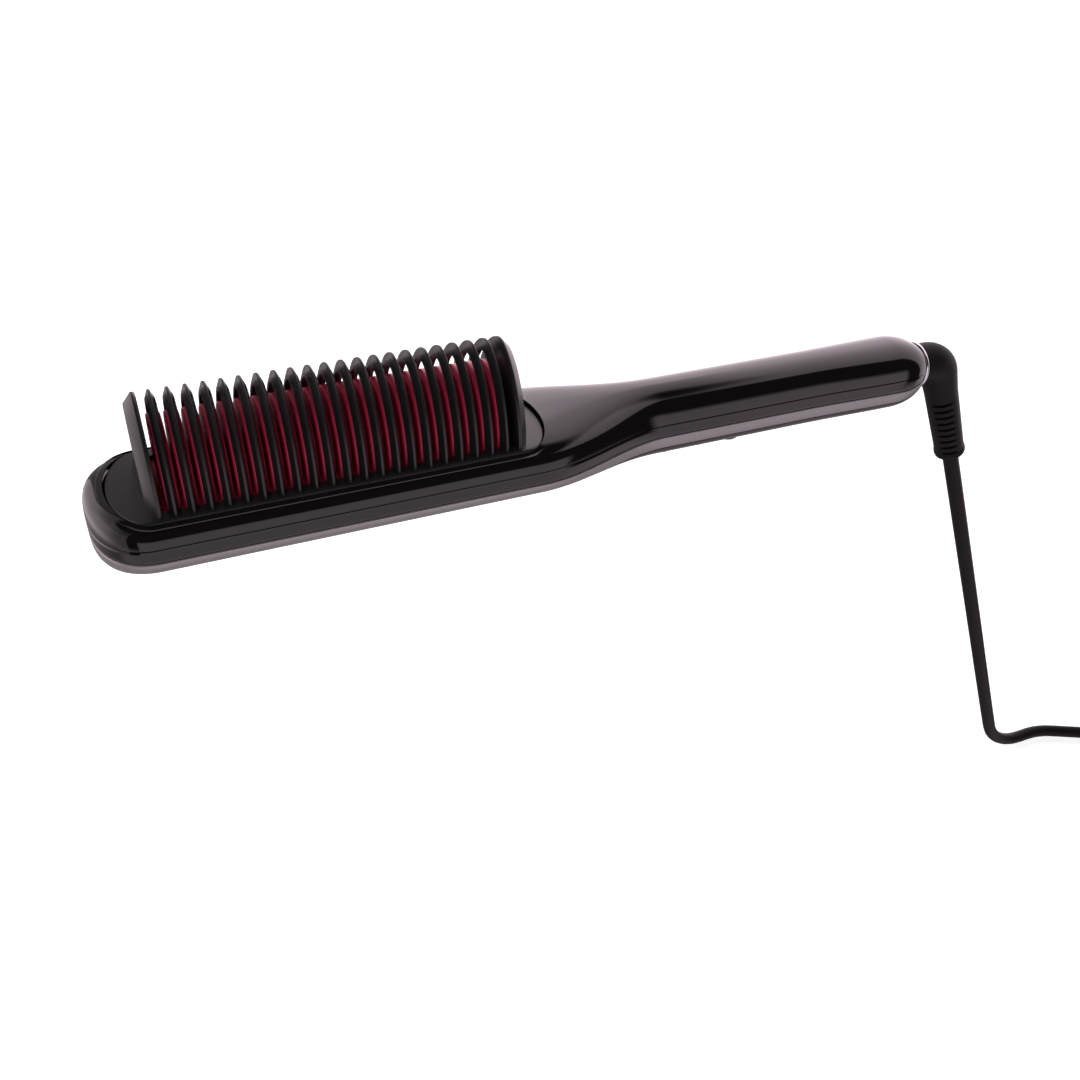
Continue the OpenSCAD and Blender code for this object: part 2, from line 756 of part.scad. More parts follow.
module screw(head_z, tip_z) {
    translate([0, 0, head_z]) cylinder(h = tip_z - head_z, r = screw_r);
    translate([0, 0, head_z]) difference() {
        cylinder(h = screw_head_t, r = screw_head_r);
        translate([0, 0, -past]) cylinder(h = socket_depth + past, r = socket_r, $fn = 6);
    }
}

function head_seat(x) = floor_z(x) + head_sink - screw_head_t;

// Four long screws through the lower cover and the clamp into the guard
module guard_screws() {
    color("#8d9094") at_guard_bosses()
        screw(head_seat(comb_x) - seat_gap, clamp_top + screw_bite - screw_room);
}

// Two screws that draw the covers together under the grip
module case_screws() {
    color("#8d9094") for (x = case_screw_x)
        translate([x, 0, 0]) screw(head_seat(x) - seat_gap, case_joint_z + screw_bite - screw_room);
}

// ---- Controls ----

// Control board along the handle
module control_board() {
    color("#1f5a36") translate([board_x0, -board_w / 2, board_z])
        cube([board_x1 - board_x0, board_w, board_t]);
}

// One switch under the board for each button
module tact_switches() {
    color("#2a2a2c") for (x = button_x) difference() {
        translate([x - switch_w / 2, -switch_w / 2, switch_z]) cube([switch_w, switch_w, switch_h]);
        translate([x, 0, switch_z - past])
            cylinder(h = stem_depth + past, r = stem_r + stem_room);
    }
}

// Relay, capacitor and driver on top of the board
module board_parts() {
    color("#33557a") {
        translate([board_x0 + relay_at, -relay[1] / 2, board_top]) cube(relay);
        translate([board_x0 + capacitor_at, 0, board_top]) cylinder(h = capacitor_h, r = capacitor_r);
        translate([board_x0 + driver_at, -driver[1] / 2, board_top]) cube(driver);
    }
}

// Small temperature display behind its window
module display_module() {
    top = board_z - seat_gap;
    low = floor_z(window_x) + wall + display_clear;
    color("#26292c") translate([window_x - window_l / 2, -window_w / 2, low])
        cube([window_l, window_w, top - low]);
}

// Clear window let into the underside of the handle
module display_window() {
    color("#30343a") translate([window_x, 0, floor_z(window_x) + window_sink])
        linear_extrude(height = window_t)
            round_rect(window_l - 2 * seat_gap, window_w - 2 * seat_gap, window_corner - seat_gap);
}

// A push button: cap through the casing, flange inside, and a stem that works the switch
module push_button(x, d) {
    low = floor_z(x) - button_proud;
    flange_z = flange_seat + seat_gap;
    translate([x, 0, 0]) {
        translate([0, 0, low]) cylinder(h = cap_chamfer, r1 = d / 2 - cap_chamfer, r2 = d / 2);
        translate([0, 0, low + cap_chamfer]) cylinder(h = flange_z - low - cap_chamfer + sink, r = d / 2);
        translate([0, 0, flange_z]) cylinder(h = flange_t, r = d / 2 + flange_extra);
        translate([0, 0, flange_z]) cylinder(h = switch_z - stem_gap - flange_z, r = stem_r);
    }
}

module power_button() {
    color("#2c2a2c") push_button(button_x[0], power_d);
}

module plus_button() {
    color("#2c2a2c") push_button(button_x[1], step_d);
}

module minus_button() {
    color("#2c2a2c") push_button(button_x[2], step_d);
}

// ---- Leads inside the casing ----

// Two leads from the heater bars to the board
module heater_leads() {
    x0 = comb_x + bar_gap / 2 + bar_l + seat_gap;
    x1 = comb_x + guard_boss_x + clamp_margin;
    z0 = bar_top - bar_t / 2;
    over = 2;
    color("#b03028") for (y = [-heater_lead_y, heater_lead_y])
        tube([[x0, y, z0], [x1, y, z0], [x1 + 2.5 * over, y, z0 - 0.75 * over],
            [x1 + 6 * over, y, lead_z + over], [board_x0 + over, y, lead_z],
            [board_x0 + lead_foot, y, lead_z]], lead_r, lead_sides);
}

// Two leads from the contact block to the board
module mains_leads() {
    color("#4a7fb0") for (y = [-mains_lead_y, mains_lead_y])
        tube([[board_x1 - 3, y, lead_z], [board_x1 + 4, y, lead_z + 1], [board_x1 + 10, y, -3],
            [block_x - 6, y, -3], [block_x - seat_gap, y, -3]], lead_r, lead_sides);
}

// ---- Swivel ----

// Moulded block that holds the contact springs, standing on the lower cover
module contact_block() {
    foot = floor_z(block_x) + wall + seat_face;
    color("#d8d4c8") {
        translate([block_x, -block_foot_w / 2, foot]) cube([block_t, block_foot_w, mid_z - foot]);
        translate([block_x, -block_w / 2, mid_z - block_low]) cube([block_t, block_w, block_h]);
    }
}

// Two springs that bear on the slip rings, above and below
module contact_springs() {
    x0 = block_x + block_t;
    mid = ring_rad + seat_gap + spring_t / 2;
    color("#c9a24a") for (i = [0, 1])
        translate([x0, -spring_w / 2, mid_z + (i == 0 ? mid : -mid) - spring_t / 2])
            cube([core_x - ring_places[i] + ring_w - x0, spring_w, spring_t]);
}

// Nylon bush in the solid end of the casing
module swivel_bush() {
    color("#d9d6cf") difference() {
        bar_x(bush_x, end_block, bush_r);
        bar_x(bush_x - past, end_block + 2 * past, spigot_r + spigot_gap);
    }
}

// Bright ring round the swivel, on the end face
module end_ring() {
    color("#d5d7da") difference() {
        bar_x(end_x + seat_gap, ring_t, ring_r);
        bar_x(end_x - past, ring_t + 3 * past, spigot_r + spigot_gap + ring_gap);
    }
}

// Turning core: flange behind the bush, spigot through it, and a tail that carries the rings
module swivel_core() {
    color("#222022") {
        bar_x(core_x, core_flange_t, flange_r);
        bar_x(core_x, core_end - core_x, spigot_r);
        bar_x(core_x - core_tail_l, core_tail_l + sink, core_tail_r);
    }
}

// Two brass slip rings on the tail
module slip_rings() {
    color("#c9a24a") for (back = ring_places) difference() {
        bar_x(core_x - back, ring_w, ring_rad);
        bar_x(core_x - back - past, ring_w + 2 * past, core_tail_r);
    }
}

// Centre line of the elbow and the relief, in the X-Z plane, and the radius at each place
sweep = 90 - boot_tilt;
arc_x = corner_x - bend_reach;
leg_dir = [sin(boot_tilt), 0, -cos(boot_tilt)];
arc_steps = 7;
collar_l = 2.4;
collar_step = 0.3;
upper_leg = [mix(bend_reach, leg_l, 0.2), mix(bend_reach, leg_l, 0.4)];
leg_places = concat(upper_leg, [leg_l - collar_l - collar_step, leg_l - collar_l, leg_l]);
boot_path = concat([[boot_x, 0, mid_z]],
    [for (i = [0 : arc_steps])
        let (a = sweep * i / arc_steps)
        [arc_x + elbow_bend * sin(a), 0, mid_z - elbow_bend * (1 - cos(a))]],
    [for (m = leg_places) [corner_x, 0, mid_z] + m * leg_dir]);
relief_top_r = relief_r + 0.5;
relief_mid_r = relief_r + 0.25;
bend_end_r = relief_r + 1.1;
collar_r = relief_r + collar_step;
boot_radii = concat([elbow_r],
    [for (i = [0 : arc_steps]) mix(elbow_r, bend_end_r, smooth(i / arc_steps))],
    [relief_top_r, relief_mid_r, relief_r, collar_r, collar_r]);
boot_sides = 24;

// Soft elbow and slotted strain relief, moulded over the core
module cord_boot() {
    color("#1c1b1c") difference() {
        tapered_tube(boot_path, boot_radii, boot_sides);
        translate([corner_x, 0, mid_z]) rotate([0, 180 - boot_tilt, 0]) rotate([0, 0, slot_turn])
            for (i = [0 : slot_count - 1], side = [-1, 1])
                translate([0, side * (slot_web + slot_deep / 2), leg_l - slot_first - i * slot_pitch])
                    cube([4 * relief_r, slot_deep, slot_w], center = true);
        bar_x(boot_x - past, core_end - boot_x + past, spigot_r);
    }
}

// ---- Cord ----

// A place in the hank, seen from above, at step i and radius r: two straight runs and two folds a turn
function hank_place(i, r) =
    let (half = hank_steps / 2,
         f = i % hank_steps,
         g = f % half,
         x = hank_run * min(g / run_steps, 1),
         a = 180 * max(g - run_steps, 0) / (half - run_steps) - 90,
         p = [x + r * cos(a), r * sin(a)])
    f < half ? p : [hank_run - p[0], -p[1]];

// The hank winds in on the surface, climbs a layer where it turns back, and winds out on top
hank_total = 2 * hank_turns * hank_steps;
function climb(i) = smooth((i - hank_total / 2) / (hank_steps / 2) + 0.5);
hank_path = [for (i = [0 : hank_total])
    let (p = hank_place(i, fold_r + hank_pitch * abs(i - hank_total / 2) / hank_steps))
    [hank_x + p[0], p[1], cord_z + hank_pitch * climb(i)]];

hank_clear = min([for (turn = [1 : 2 * hank_turns]) each
    [for (i = [0 : hank_total - turn * hank_steps])
        norm(hank_path[i] - hank_path[i + turn * hank_steps])]]) - cord_d;
echo(hank_gap = hank_clear);

// Straight lengths of one diameter before and after the turns keep both ends square
hank_in = hank_path[0] - [cord_d, 0, 0];
hank_end = hank_path[hank_total] - [cord_d, 0, 0];

// The cord straightens from its way over the surface into the first run
approach = concat(
    [for (t = [1, 2 / 3, 1 / 3, 0])
        let (a = approach_turn * t)
        hank_in + [-cord_r - approach_r * sin(a), approach_r * (1 - cos(a)), 0]],
    [hank_in]);

// Last run and fold: they rise over the turns to the plug, which lies on top
last_fold_r = (hank_out_r - plug_y) / 2;
rise_l = hank_run - 2 * cord_d + PI * last_fold_r;
rise_h = plug_z - hank_end[2];
function last_z(l) = hank_end[2] + rise_h * smooth(l / rise_l);
last_run = [for (x = [hank_run - 2 * cord_d : -hank_run / 6 : hank_run / 8])
    [hank_x + x, hank_out_r, last_z(hank_run - 2 * cord_d - x)]];
fold_steps = 10;
last_fold = [for (i = [0 : fold_steps])
    let (a = 90 + 180 * i / fold_steps)
    [hank_x + last_fold_r * cos(a), hank_out_r - last_fold_r + last_fold_r * sin(a),
        last_z(rise_l - PI * last_fold_r * (1 - i / fold_steps))]];
plug_start = [hank_x + tail_l, plug_y, plug_z];

module power_cord() {
    color("#171617") tube(concat(cord_route, approach), cord_r, cord_sides);
}

module cord_hank() {
    color("#171617") tube(concat([hank_in], hank_path, [hank_end]), cord_r, hank_sides);
}

module cord_tail() {
    color("#171617")
        tube(concat([hank_end], last_run, last_fold, [plug_start - [tail_l / 2, 0, 0], plug_start]),
            cord_r, cord_sides);
}

// Strap round the wound cord
module cord_tie() {
    in_r = fold_r - cord_r - tie_gap;
    out_r = hank_out_r + cord_r + tie_gap;
    low = cord_z - cord_r - tie_gap;
    high = cord_z + hank_pitch + cord_r + tie_gap;
    color("#2a282a") translate([0, (in_r + out_r) / 2, (low + high) / 2])
        upright(hank_x + hank_run - tie_from_fold, tie_w) difference() {
            round_rect(out_r - in_r + 2 * tie_t, high - low + 2 * tie_t, tie_corner);
            round_rect(out_r - in_r, high - low, tie_corner - tie_t);
        }
}

module plug_body() {
    color("#1a191a") translate(plug_start) {
        rotate([0, 90, 0])
            cylinder(h = plug_relief_l + sink, r1 = plug_relief_r[0], r2 = plug_relief_r[1]);
        translate([plug_relief_l, 0, -plug_h / 2]) linear_extrude(height = plug_h)
            translate([plug_l / 2, 0]) round_rect(plug_l, plug_w, plug_corner);
    }
}

// Two flat blades of a mains plug, each with its hole
module plug_blades() {
    color("#c9a24a") translate(plug_start) for (side = [-1, 1])
        translate([plug_relief_l + plug_l, (side * blade_pitch - blade[1]) / 2, -blade[2] / 2])
            difference() {
                cube(blade);
                translate([blade[0] - blade_hole_in, blade[1] + past, blade[2] / 2])
                    rotate([90, 0, 0]) cylinder(h = blade[1] + 2 * past, r = blade_hole_r);
            }
}

upper_cover();
lower_cover();
trim_band();
comb_guard();
heating_plate();
heater_bars();
mica_sheet();
heater_clamp();
temperature_sensor();
thermal_fuse();
guard_screws();
case_screws();
control_board();
tact_switches();
board_parts();
display_module();
display_window();
heater_leads();
mains_leads();
contact_block();
contact_springs();
swivel_bush();
end_ring();
swivel_core();
slip_rings();
cord_boot();
power_button();
plus_button();
minus_button();
power_cord();
cord_hank();
cord_tail();
cord_tie();
plug_body();
plug_blades();
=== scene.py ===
import bmesh
import bpy
import numpy as np
from mathutils import Matrix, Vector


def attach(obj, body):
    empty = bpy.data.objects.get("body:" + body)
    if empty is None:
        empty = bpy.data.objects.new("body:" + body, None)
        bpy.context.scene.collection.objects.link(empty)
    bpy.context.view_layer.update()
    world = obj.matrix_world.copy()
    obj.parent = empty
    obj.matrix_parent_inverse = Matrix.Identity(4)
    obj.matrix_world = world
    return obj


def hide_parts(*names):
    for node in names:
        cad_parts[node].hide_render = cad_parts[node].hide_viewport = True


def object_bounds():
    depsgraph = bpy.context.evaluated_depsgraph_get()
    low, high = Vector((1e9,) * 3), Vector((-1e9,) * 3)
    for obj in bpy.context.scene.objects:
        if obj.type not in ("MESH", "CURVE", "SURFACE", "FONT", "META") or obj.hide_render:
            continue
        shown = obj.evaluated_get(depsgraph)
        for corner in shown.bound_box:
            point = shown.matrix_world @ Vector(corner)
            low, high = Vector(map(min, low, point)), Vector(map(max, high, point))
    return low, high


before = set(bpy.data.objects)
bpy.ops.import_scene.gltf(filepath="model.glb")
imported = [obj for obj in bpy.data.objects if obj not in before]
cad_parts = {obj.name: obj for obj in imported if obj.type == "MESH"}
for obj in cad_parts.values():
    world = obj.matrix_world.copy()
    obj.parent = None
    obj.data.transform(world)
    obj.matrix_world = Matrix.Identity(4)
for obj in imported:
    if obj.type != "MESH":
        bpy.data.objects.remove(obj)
cad_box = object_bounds()

# ---- Set ----
# The comb is photographed in the air over a white table, in soft light with dark gaps between the boxes.
# Sizes in this file are millimetres until a mesh is made.

MM = 0.001


def rgb(code):
    """Linear colour with alpha from an sRGB hex code: c/12.92 below 0.04045, else ((c+0.055)/1.055)^2.4."""
    value = np.array([int(code[i:i + 2], 16) / 255 for i in (1, 3, 5)])
    linear = np.where(value <= 0.04045, value / 12.92, ((value + 0.055) / 1.055) ** 2.4)
    return (*linear.tolist(), 1.0)


def add_node(tree, kind, inputs=None, **settings):
    """Adds a node: settings are its properties, and inputs its sockets' values or what is linked to them."""
    node = tree.nodes.new(kind)
    for key, value in settings.items():
        setattr(node, key, value)
    for key, value in (inputs or {}).items():
        if isinstance(value, bpy.types.NodeSocket):
            tree.links.new(value, node.inputs[key])
        else:
            node.inputs[key].default_value = value
    return node


def empty_tree(owner):
    """The owner's node tree, cleared."""
    owner.use_nodes = True
    owner.node_tree.nodes.clear()
    return owner.node_tree


def add_object(name, data):
    """A new object in the scene, at the origin."""
    made = bpy.data.objects.new(name, data)
    bpy.context.scene.collection.objects.link(made)
    return made


# The camera's lens, axes and place were worked out from the photograph.
camera_data = bpy.data.cameras.new("camera")
camera_data.sensor_width = 36
camera_data.lens = 36.0153
camera = add_object("camera", camera_data)
camera_right = (0.91763837, -0.39581711, 0.03561794)
camera_up = (0.20749916, 0.55362701, 0.80649937)
camera_back = (-0.3389453, -0.73268407, 0.59016111)
camera_place = (-220.480, -284.584, 183.245)
camera_matrix = np.eye(4)
camera_matrix[:3, :3] = np.array([camera_right, camera_up, camera_back]).T
camera_matrix[:3, 3] = np.array(camera_place) * MM
camera.matrix_world = Matrix(camera_matrix.tolist())
bpy.context.scene.camera = camera
bpy.context.scene.view_settings.view_transform = "Standard"

# White laminate table top under the hank of cord. The camera sees it paper white, and glossy surfaces mirror
# the studio through it.
table_z = -270.9
table_half = 4000
table_mesh = bpy.data.meshes.new("table")
corners = [(x * table_half * MM, y * table_half * MM, table_z * MM)
           for x, y in ((-1, -1), (1, -1), (1, 1), (-1, 1))]
table_mesh.from_pydata(corners, [], [(0, 1, 2, 3)])
table = add_object("table", table_mesh)
white_laminate = bpy.data.materials.new("white_laminate")
tree = empty_tree(white_laminate)
ray = add_node(tree, "ShaderNodeLightPath")
laminate = add_node(tree, "ShaderNodeBsdfPrincipled", {"Base Color": rgb("#e8e8e8"), "Roughness": 0.6})
glow = add_node(tree, "ShaderNodeEmission", {"Color": rgb("#ffffff"), "Strength": 0.5})
both = add_node(tree, "ShaderNodeAddShader", {0: laminate.outputs[0], 1: glow.outputs[0]})
clear = add_node(tree, "ShaderNodeBsdfTransparent")
top = add_node(tree, "ShaderNodeMixShader", {0: ray.outputs["Is Camera Ray"], 1: laminate.outputs[0],
                                             2: both.outputs[0]})
top = add_node(tree, "ShaderNodeMixShader", {0: ray.outputs["Is Glossy Ray"], 1: top.outputs[0],
                                             2: clear.outputs[0]})
add_node(tree, "ShaderNodeOutputMaterial", {"Surface": top.outputs[0]})
table_mesh.materials.append(white_laminate)

# A white studio with dark gaps, which glossy surfaces mirror: a large soft box at the back and right, a
# smaller one at the left, and a white card low at the front. The azimuth runs from the back (0) over the
# right (+) to the front (pi).
world = bpy.data.worlds.new("studio")
bpy.context.scene.world = world
tree = empty_tree(world)
direction = add_node(tree, "ShaderNodeTexCoord")
axes = add_node(tree, "ShaderNodeSeparateXYZ", {0: direction.outputs["Generated"]})
to_right, to_back, height = axes.outputs
azimuth = add_node(tree, "ShaderNodeMath", {0: to_right, 1: to_back}, operation="ARCTAN2").outputs[0]


def ramp(value, start, end, low=0.0, high=1.0, kind="SMOOTHSTEP"):
    """Socket in the studio that runs from low to high while value goes from start to end."""
    sizes = {"Value": value, "From Min": start, "From Max": end, "To Min": low, "To Max": high}
    return add_node(tree, "ShaderNodeMapRange", sizes, interpolation_type=kind).outputs[0]


def combine(operation, first, *others):
    """Socket in the studio with the product, sum or other result of all the inputs."""
    for other in others:
        first = add_node(tree, "ShaderNodeMath", {0: first, 1: other}, operation=operation).outputs[0]
    return first


under_ceiling = ramp(height, 0.82, 0.88, 1.0, 0.0)
over_neck = combine("MAXIMUM", ramp(to_right, 0.4, 0.56), ramp(height, 0.48, 0.58, 1.0, 0.55))
right_box = combine("MULTIPLY", ramp(azimuth, 0.0, 0.3), ramp(to_back, -0.34, -0.26),
                    ramp(azimuth, 0.6, 2.1, 2.0, 1.0, "LINEAR"), over_neck, under_ceiling)
left_box = combine("MULTIPLY", ramp(azimuth, -2.18, -2.14), ramp(azimuth, -0.36, -0.3, 1.0, 0.0),
                   under_ceiling, ramp(azimuth, -1.95, -1.2, 0.62, 1.9),
                   ramp(azimuth, -1.05, -0.4, 1.0, 0.55), ramp(height, 0.5, 0.8, 1.0, 0.4))
at_front = combine("ADD", ramp(azimuth, 2.3, 2.46), ramp(azimuth, -2.56, -2.5, 1.0, 0.0))
front_card = combine("MULTIPLY", at_front, ramp(height, 0.08, 0.3, 1.0, 0.0))
back_wall = combine("MULTIPLY", ramp(to_back, 0.3, 0.8, 0.0, 0.25), under_ceiling)
brightest, darkest = 2.0, 0.05
right_and_front = combine("MINIMUM", combine("ADD", right_box, front_card), brightest)
boxes = combine("ADD", right_and_front, left_box, back_wall, darkest)
below = ramp(to_back, -0.35, 0.0, 0.9, 0.35)
mirrored = add_node(tree, "ShaderNodeMix", {"Factor": ramp(height, -0.3, -0.55), "A": boxes, "B": below},
                    data_type="FLOAT")
ray = add_node(tree, "ShaderNodeLightPath")
around = add_node(tree, "ShaderNodeMix", {"Factor": ray.outputs["Is Glossy Ray"], "A": 0.65,
                                          "B": mirrored.outputs[0]}, data_type="FLOAT")
level = add_node(tree, "ShaderNodeMix", {"Factor": ray.outputs["Is Camera Ray"], "A": around.outputs[0],
                                         "B": 1.0}, data_type="FLOAT")
tint = add_node(tree, "ShaderNodeMix", {"Factor": ray.outputs["Is Glossy Ray"], "A": rgb("#ffffff"),
                                        "B": rgb("#ffeef6")}, data_type="RGBA")
background = add_node(tree, "ShaderNodeBackground", {"Color": tint.outputs[2], "Strength": level.outputs[0]})
add_node(tree, "ShaderNodeOutputWorld", {"Surface": background.outputs[0]})


def add_lamp(name, place, target, size, watts):
    """A soft box of size (width, height) at place, facing target, which reflections leave out."""
    data = bpy.data.lights.new(name, "AREA")
    data.shape = "RECTANGLE"
    data.size, data.size_y = size[0] * MM, size[1] * MM
    data.energy = watts
    lamp = add_object(name, data)
    back = np.array(place, float) - np.array(target, float)
    back /= np.linalg.norm(back)
    side = np.cross((0, 0, 1), back)
    side /= np.linalg.norm(side)
    turn = np.eye(4)
    turn[:3, :3] = np.array([side, np.cross(back, side), back]).T
    turn[:3, 3] = np.array(place) * MM
    lamp.matrix_world = Matrix(turn.tolist())
    lamp.visible_glossy = False


add_lamp("soft_box_left", (-900, -700, 900), (-80, 0, 0), (700, 700), 9)
add_lamp("soft_box_back", (200, 1300, 520), (-40, 0, 0), (1600, 420), 10)

# ---- Power cord ----
# Round two-core cord in black PVC. It hangs from the relief to the table, and what the photograph doesn't
# show is folded into a hank of two layers past the view, with the plug lying on it.


def joined_mesh(name, parts, weld=True):
    """One mesh with outward normals from (points, faces) parts in millimetres."""
    points, faces, base = [], [], 0
    for part_points, part_faces in parts:
        points.append(np.asarray(part_points, float).reshape(-1, 3))
        faces += [[base + int(i) for i in face] for face in part_faces]
        base += len(points[-1])
    mesh = bpy.data.meshes.new(name)
    mesh.from_pydata((np.concatenate(points) * MM).tolist(), [], faces)
    mesh.validate()
    work = bmesh.new()
    work.from_mesh(mesh)
    if weld:
        bmesh.ops.remove_doubles(work, verts=work.verts, dist=0.002 * MM)
        bmesh.ops.dissolve_degenerate(work, edges=work.edges, dist=0.001 * MM)
    bmesh.ops.recalc_face_normals(work, faces=work.faces)
    work.to_mesh(mesh)
    work.free()
    return mesh


def mesh_piece(name, parts, body, material, nodes=(), smooth=35):
    """One object from (points, faces) parts, shaded smooth but for edges over that angle in degrees."""
    mesh = joined_mesh(name, parts)
    mesh.polygons.foreach_set("use_smooth", np.ones(len(mesh.polygons), bool))
    mesh.set_sharp_from_angle(angle=np.radians(smooth))
    mesh.materials.append(material)
    piece = add_object(name, mesh)
    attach(piece, body)
    if nodes:
        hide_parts(*nodes)
    return piece


def grid(points, around=False, along=False, caps=False):
    """Quads over a rows x columns grid of points.

    around closes the columns, along closes the rows, and caps fills both ends.
    """
    rows, cols = points.shape[:2]
    index = np.arange(rows * cols).reshape(rows, cols)
    if around:
        index = np.concatenate([index, index[:, :1]], axis=1)
    if along:
        index = np.concatenate([index, index[:1]], axis=0)
    corners = [index[:-1, :-1], index[:-1, 1:], index[1:, 1:], index[1:, :-1]]
    faces = np.stack(corners, axis=-1).reshape(-1, 4).tolist()
    if caps:
        faces += [list(range(cols))[::-1], list(range((rows - 1) * cols, rows * cols))]
    return points.reshape(-1, 3), faces


def unit(v):
    """The vectors v at length 1."""
    return v / np.linalg.norm(v, axis=-1, keepdims=True)


def tube(path, radius, sides):
    """Rings along a path: p + r (cos t u + sin t v), with u and v square to the path and never twisting."""
    path = np.asarray(path, float)
    radius = np.broadcast_to(radius, (len(path),))
    heading = unit(np.gradient(path, axis=0))
    u = np.zeros_like(path)
    u[0] = unit(np.cross(heading[0], (0, 1, 0)))
    for i in range(1, len(path)):
        u[i] = unit(u[i - 1] - heading[i] * (u[i - 1] @ heading[i]))
    v = np.cross(heading, u)
    t = np.linspace(0, 2 * np.pi, sides, endpoint=False)[None, :, None]
    return path[:, None] + radius[:, None, None] * (np.cos(t) * u[:, None] + np.sin(t) * v[:, None])


def through(points, step):
    """A smooth line through the points: uniform cubic Catmull-Rom, sampled about every step."""
    p = np.asarray(points, float)
    p = np.concatenate([[2 * p[0] - p[1]], p, [2 * p[-1] - p[-2]]])
    line = []
    for i in range(1, len(p) - 2):
        a, b, c, d = p[i - 1:i + 3]
        n = max(2, int(np.ceil(np.linalg.norm(c - b) / step)))
        t = np.arange(n)[:, None] / n
        line.append(b + 0.5 * t * (c - a + t * (2 * a - 5 * b + 4 * c - d + t * (3 * (b - c) + d - a))))
    return np.concatenate(line + [p[-2:-1]])


cord_r = 3.2
cord_route = [
    [98.2, 0, -47.6], [101.8, 0, -55.3], [109.05, 0, -70.7], [115.85, 0, -85.2], [122.55, 0, -99.5],
    [129.35, 0, -114], [136.15, 0, -128.5], [142.85, 0, -142.8], [149.65, 0, -157.3], [156.45, 0, -171.8],
    [163.15, 0, -186.2], [169.95, 0, -200.7], [176.65, 0, -215], [183.45, 0, -229.5], [188, 0, -239.1],
    [192.1, 0, -247.6], [196.1, 0, -253.7], [201.3, 0, -258.8], [207.5, 0, -262.7], [214.2, 0, -265.2],
    [221.4, 0, -266], [226, 0, -266], [231.4, -0.4, -266], [236.6, -1.6, -266], [241.5, -3.5, -266],
    [257.6, -11.2, -266], [273.7, -18.9, -266]]
cord_z = -266
hank_x = 315.6
hank_turns = 1.75
hank_run = 96
hank_pitch = 6.6
fold_r = 19.2
hank_out_r = fold_r + hank_turns * hank_pitch
tail_l = 22
plug_h = 2 * (hank_pitch + cord_r)
plug_y = -(fold_r + hank_out_r) / 2
plug_z = cord_z + hank_pitch + cord_r + 0.1 + plug_h / 2
turn_steps = 60
approach_r, approach_turn = 33.5, np.radians(25.6)


def hank_places(turns, r):
    """Places in the hank after so many turns, seen from above: a straight run, a half circle, and back.

    Each run takes a twelfth of a turn, and each half circle, of radius r, the rest.
    """
    half, run = 0.5, 1 / 12
    f = turns % 1
    g = f % half
    x = hank_run * np.minimum(g / run, 1)
    a = np.pi * np.maximum(g - run, 0) / (half - run) - np.pi / 2
    px, py = x + r * np.cos(a), r * np.sin(a)
    return np.where(f < half, px, hank_run - px), np.where(f < half, py, -py)


turns = np.linspace(0, 2 * hank_turns, int(2 * hank_turns * turn_steps) + 1)
from_middle = turns - hank_turns
climb = np.clip(from_middle * 2 + 0.5, 0, 1)
climb = climb * climb * (3 - 2 * climb)
hank_px, hank_py = hank_places(np.minimum(turns, turns[-1] - 1e-9), fold_r + hank_pitch * np.abs(from_middle))
hank_line = np.stack([hank_x + hank_px, hank_py, cord_z + hank_pitch * climb], axis=1)
hank_in = hank_line[0] - [2 * cord_r, 0, 0]
t = approach_turn * np.array([[1], [2 / 3], [1 / 3]])
approach = hank_in + np.hstack([-cord_r - approach_r * np.sin(t), approach_r * (1 - np.cos(t)), 0 * t])
into_hank = [(hank_in - [cord_r, 0, 0]).tolist(), hank_in.tolist(), (hank_line[0] - [2, 0, 0]).tolist()]
lead_in = through(cord_route + approach.tolist() + into_hank, 2.5)

last_fold_r = (hank_out_r - plug_y) / 2
last_run = hank_run - 4 * cord_r
rise_l = last_run + np.pi * last_fold_r
gone = np.concatenate([np.linspace(-9, last_run, 22, endpoint=False), np.linspace(last_run, rise_l, 40)])
a = np.pi / 2 + np.clip(gone - last_run, 0, None) / last_fold_r
climb = np.clip(gone / rise_l, 0, 1)
hank_top = hank_line[-1, 2]
last_line = np.stack([hank_x + np.clip(last_run - gone, 0, None) + last_fold_r * np.cos(a),
                      hank_out_r - last_fold_r + last_fold_r * np.sin(a),
                      hank_top + (plug_z - hank_top) * climb ** 2 * (3 - 2 * climb)], axis=1)
lead_out = np.array([[hank_x + x, plug_y, plug_z] for x in np.linspace(2.5, tail_l, 8)])
cord_line = np.concatenate([lead_in, hank_line, last_line, lead_out])


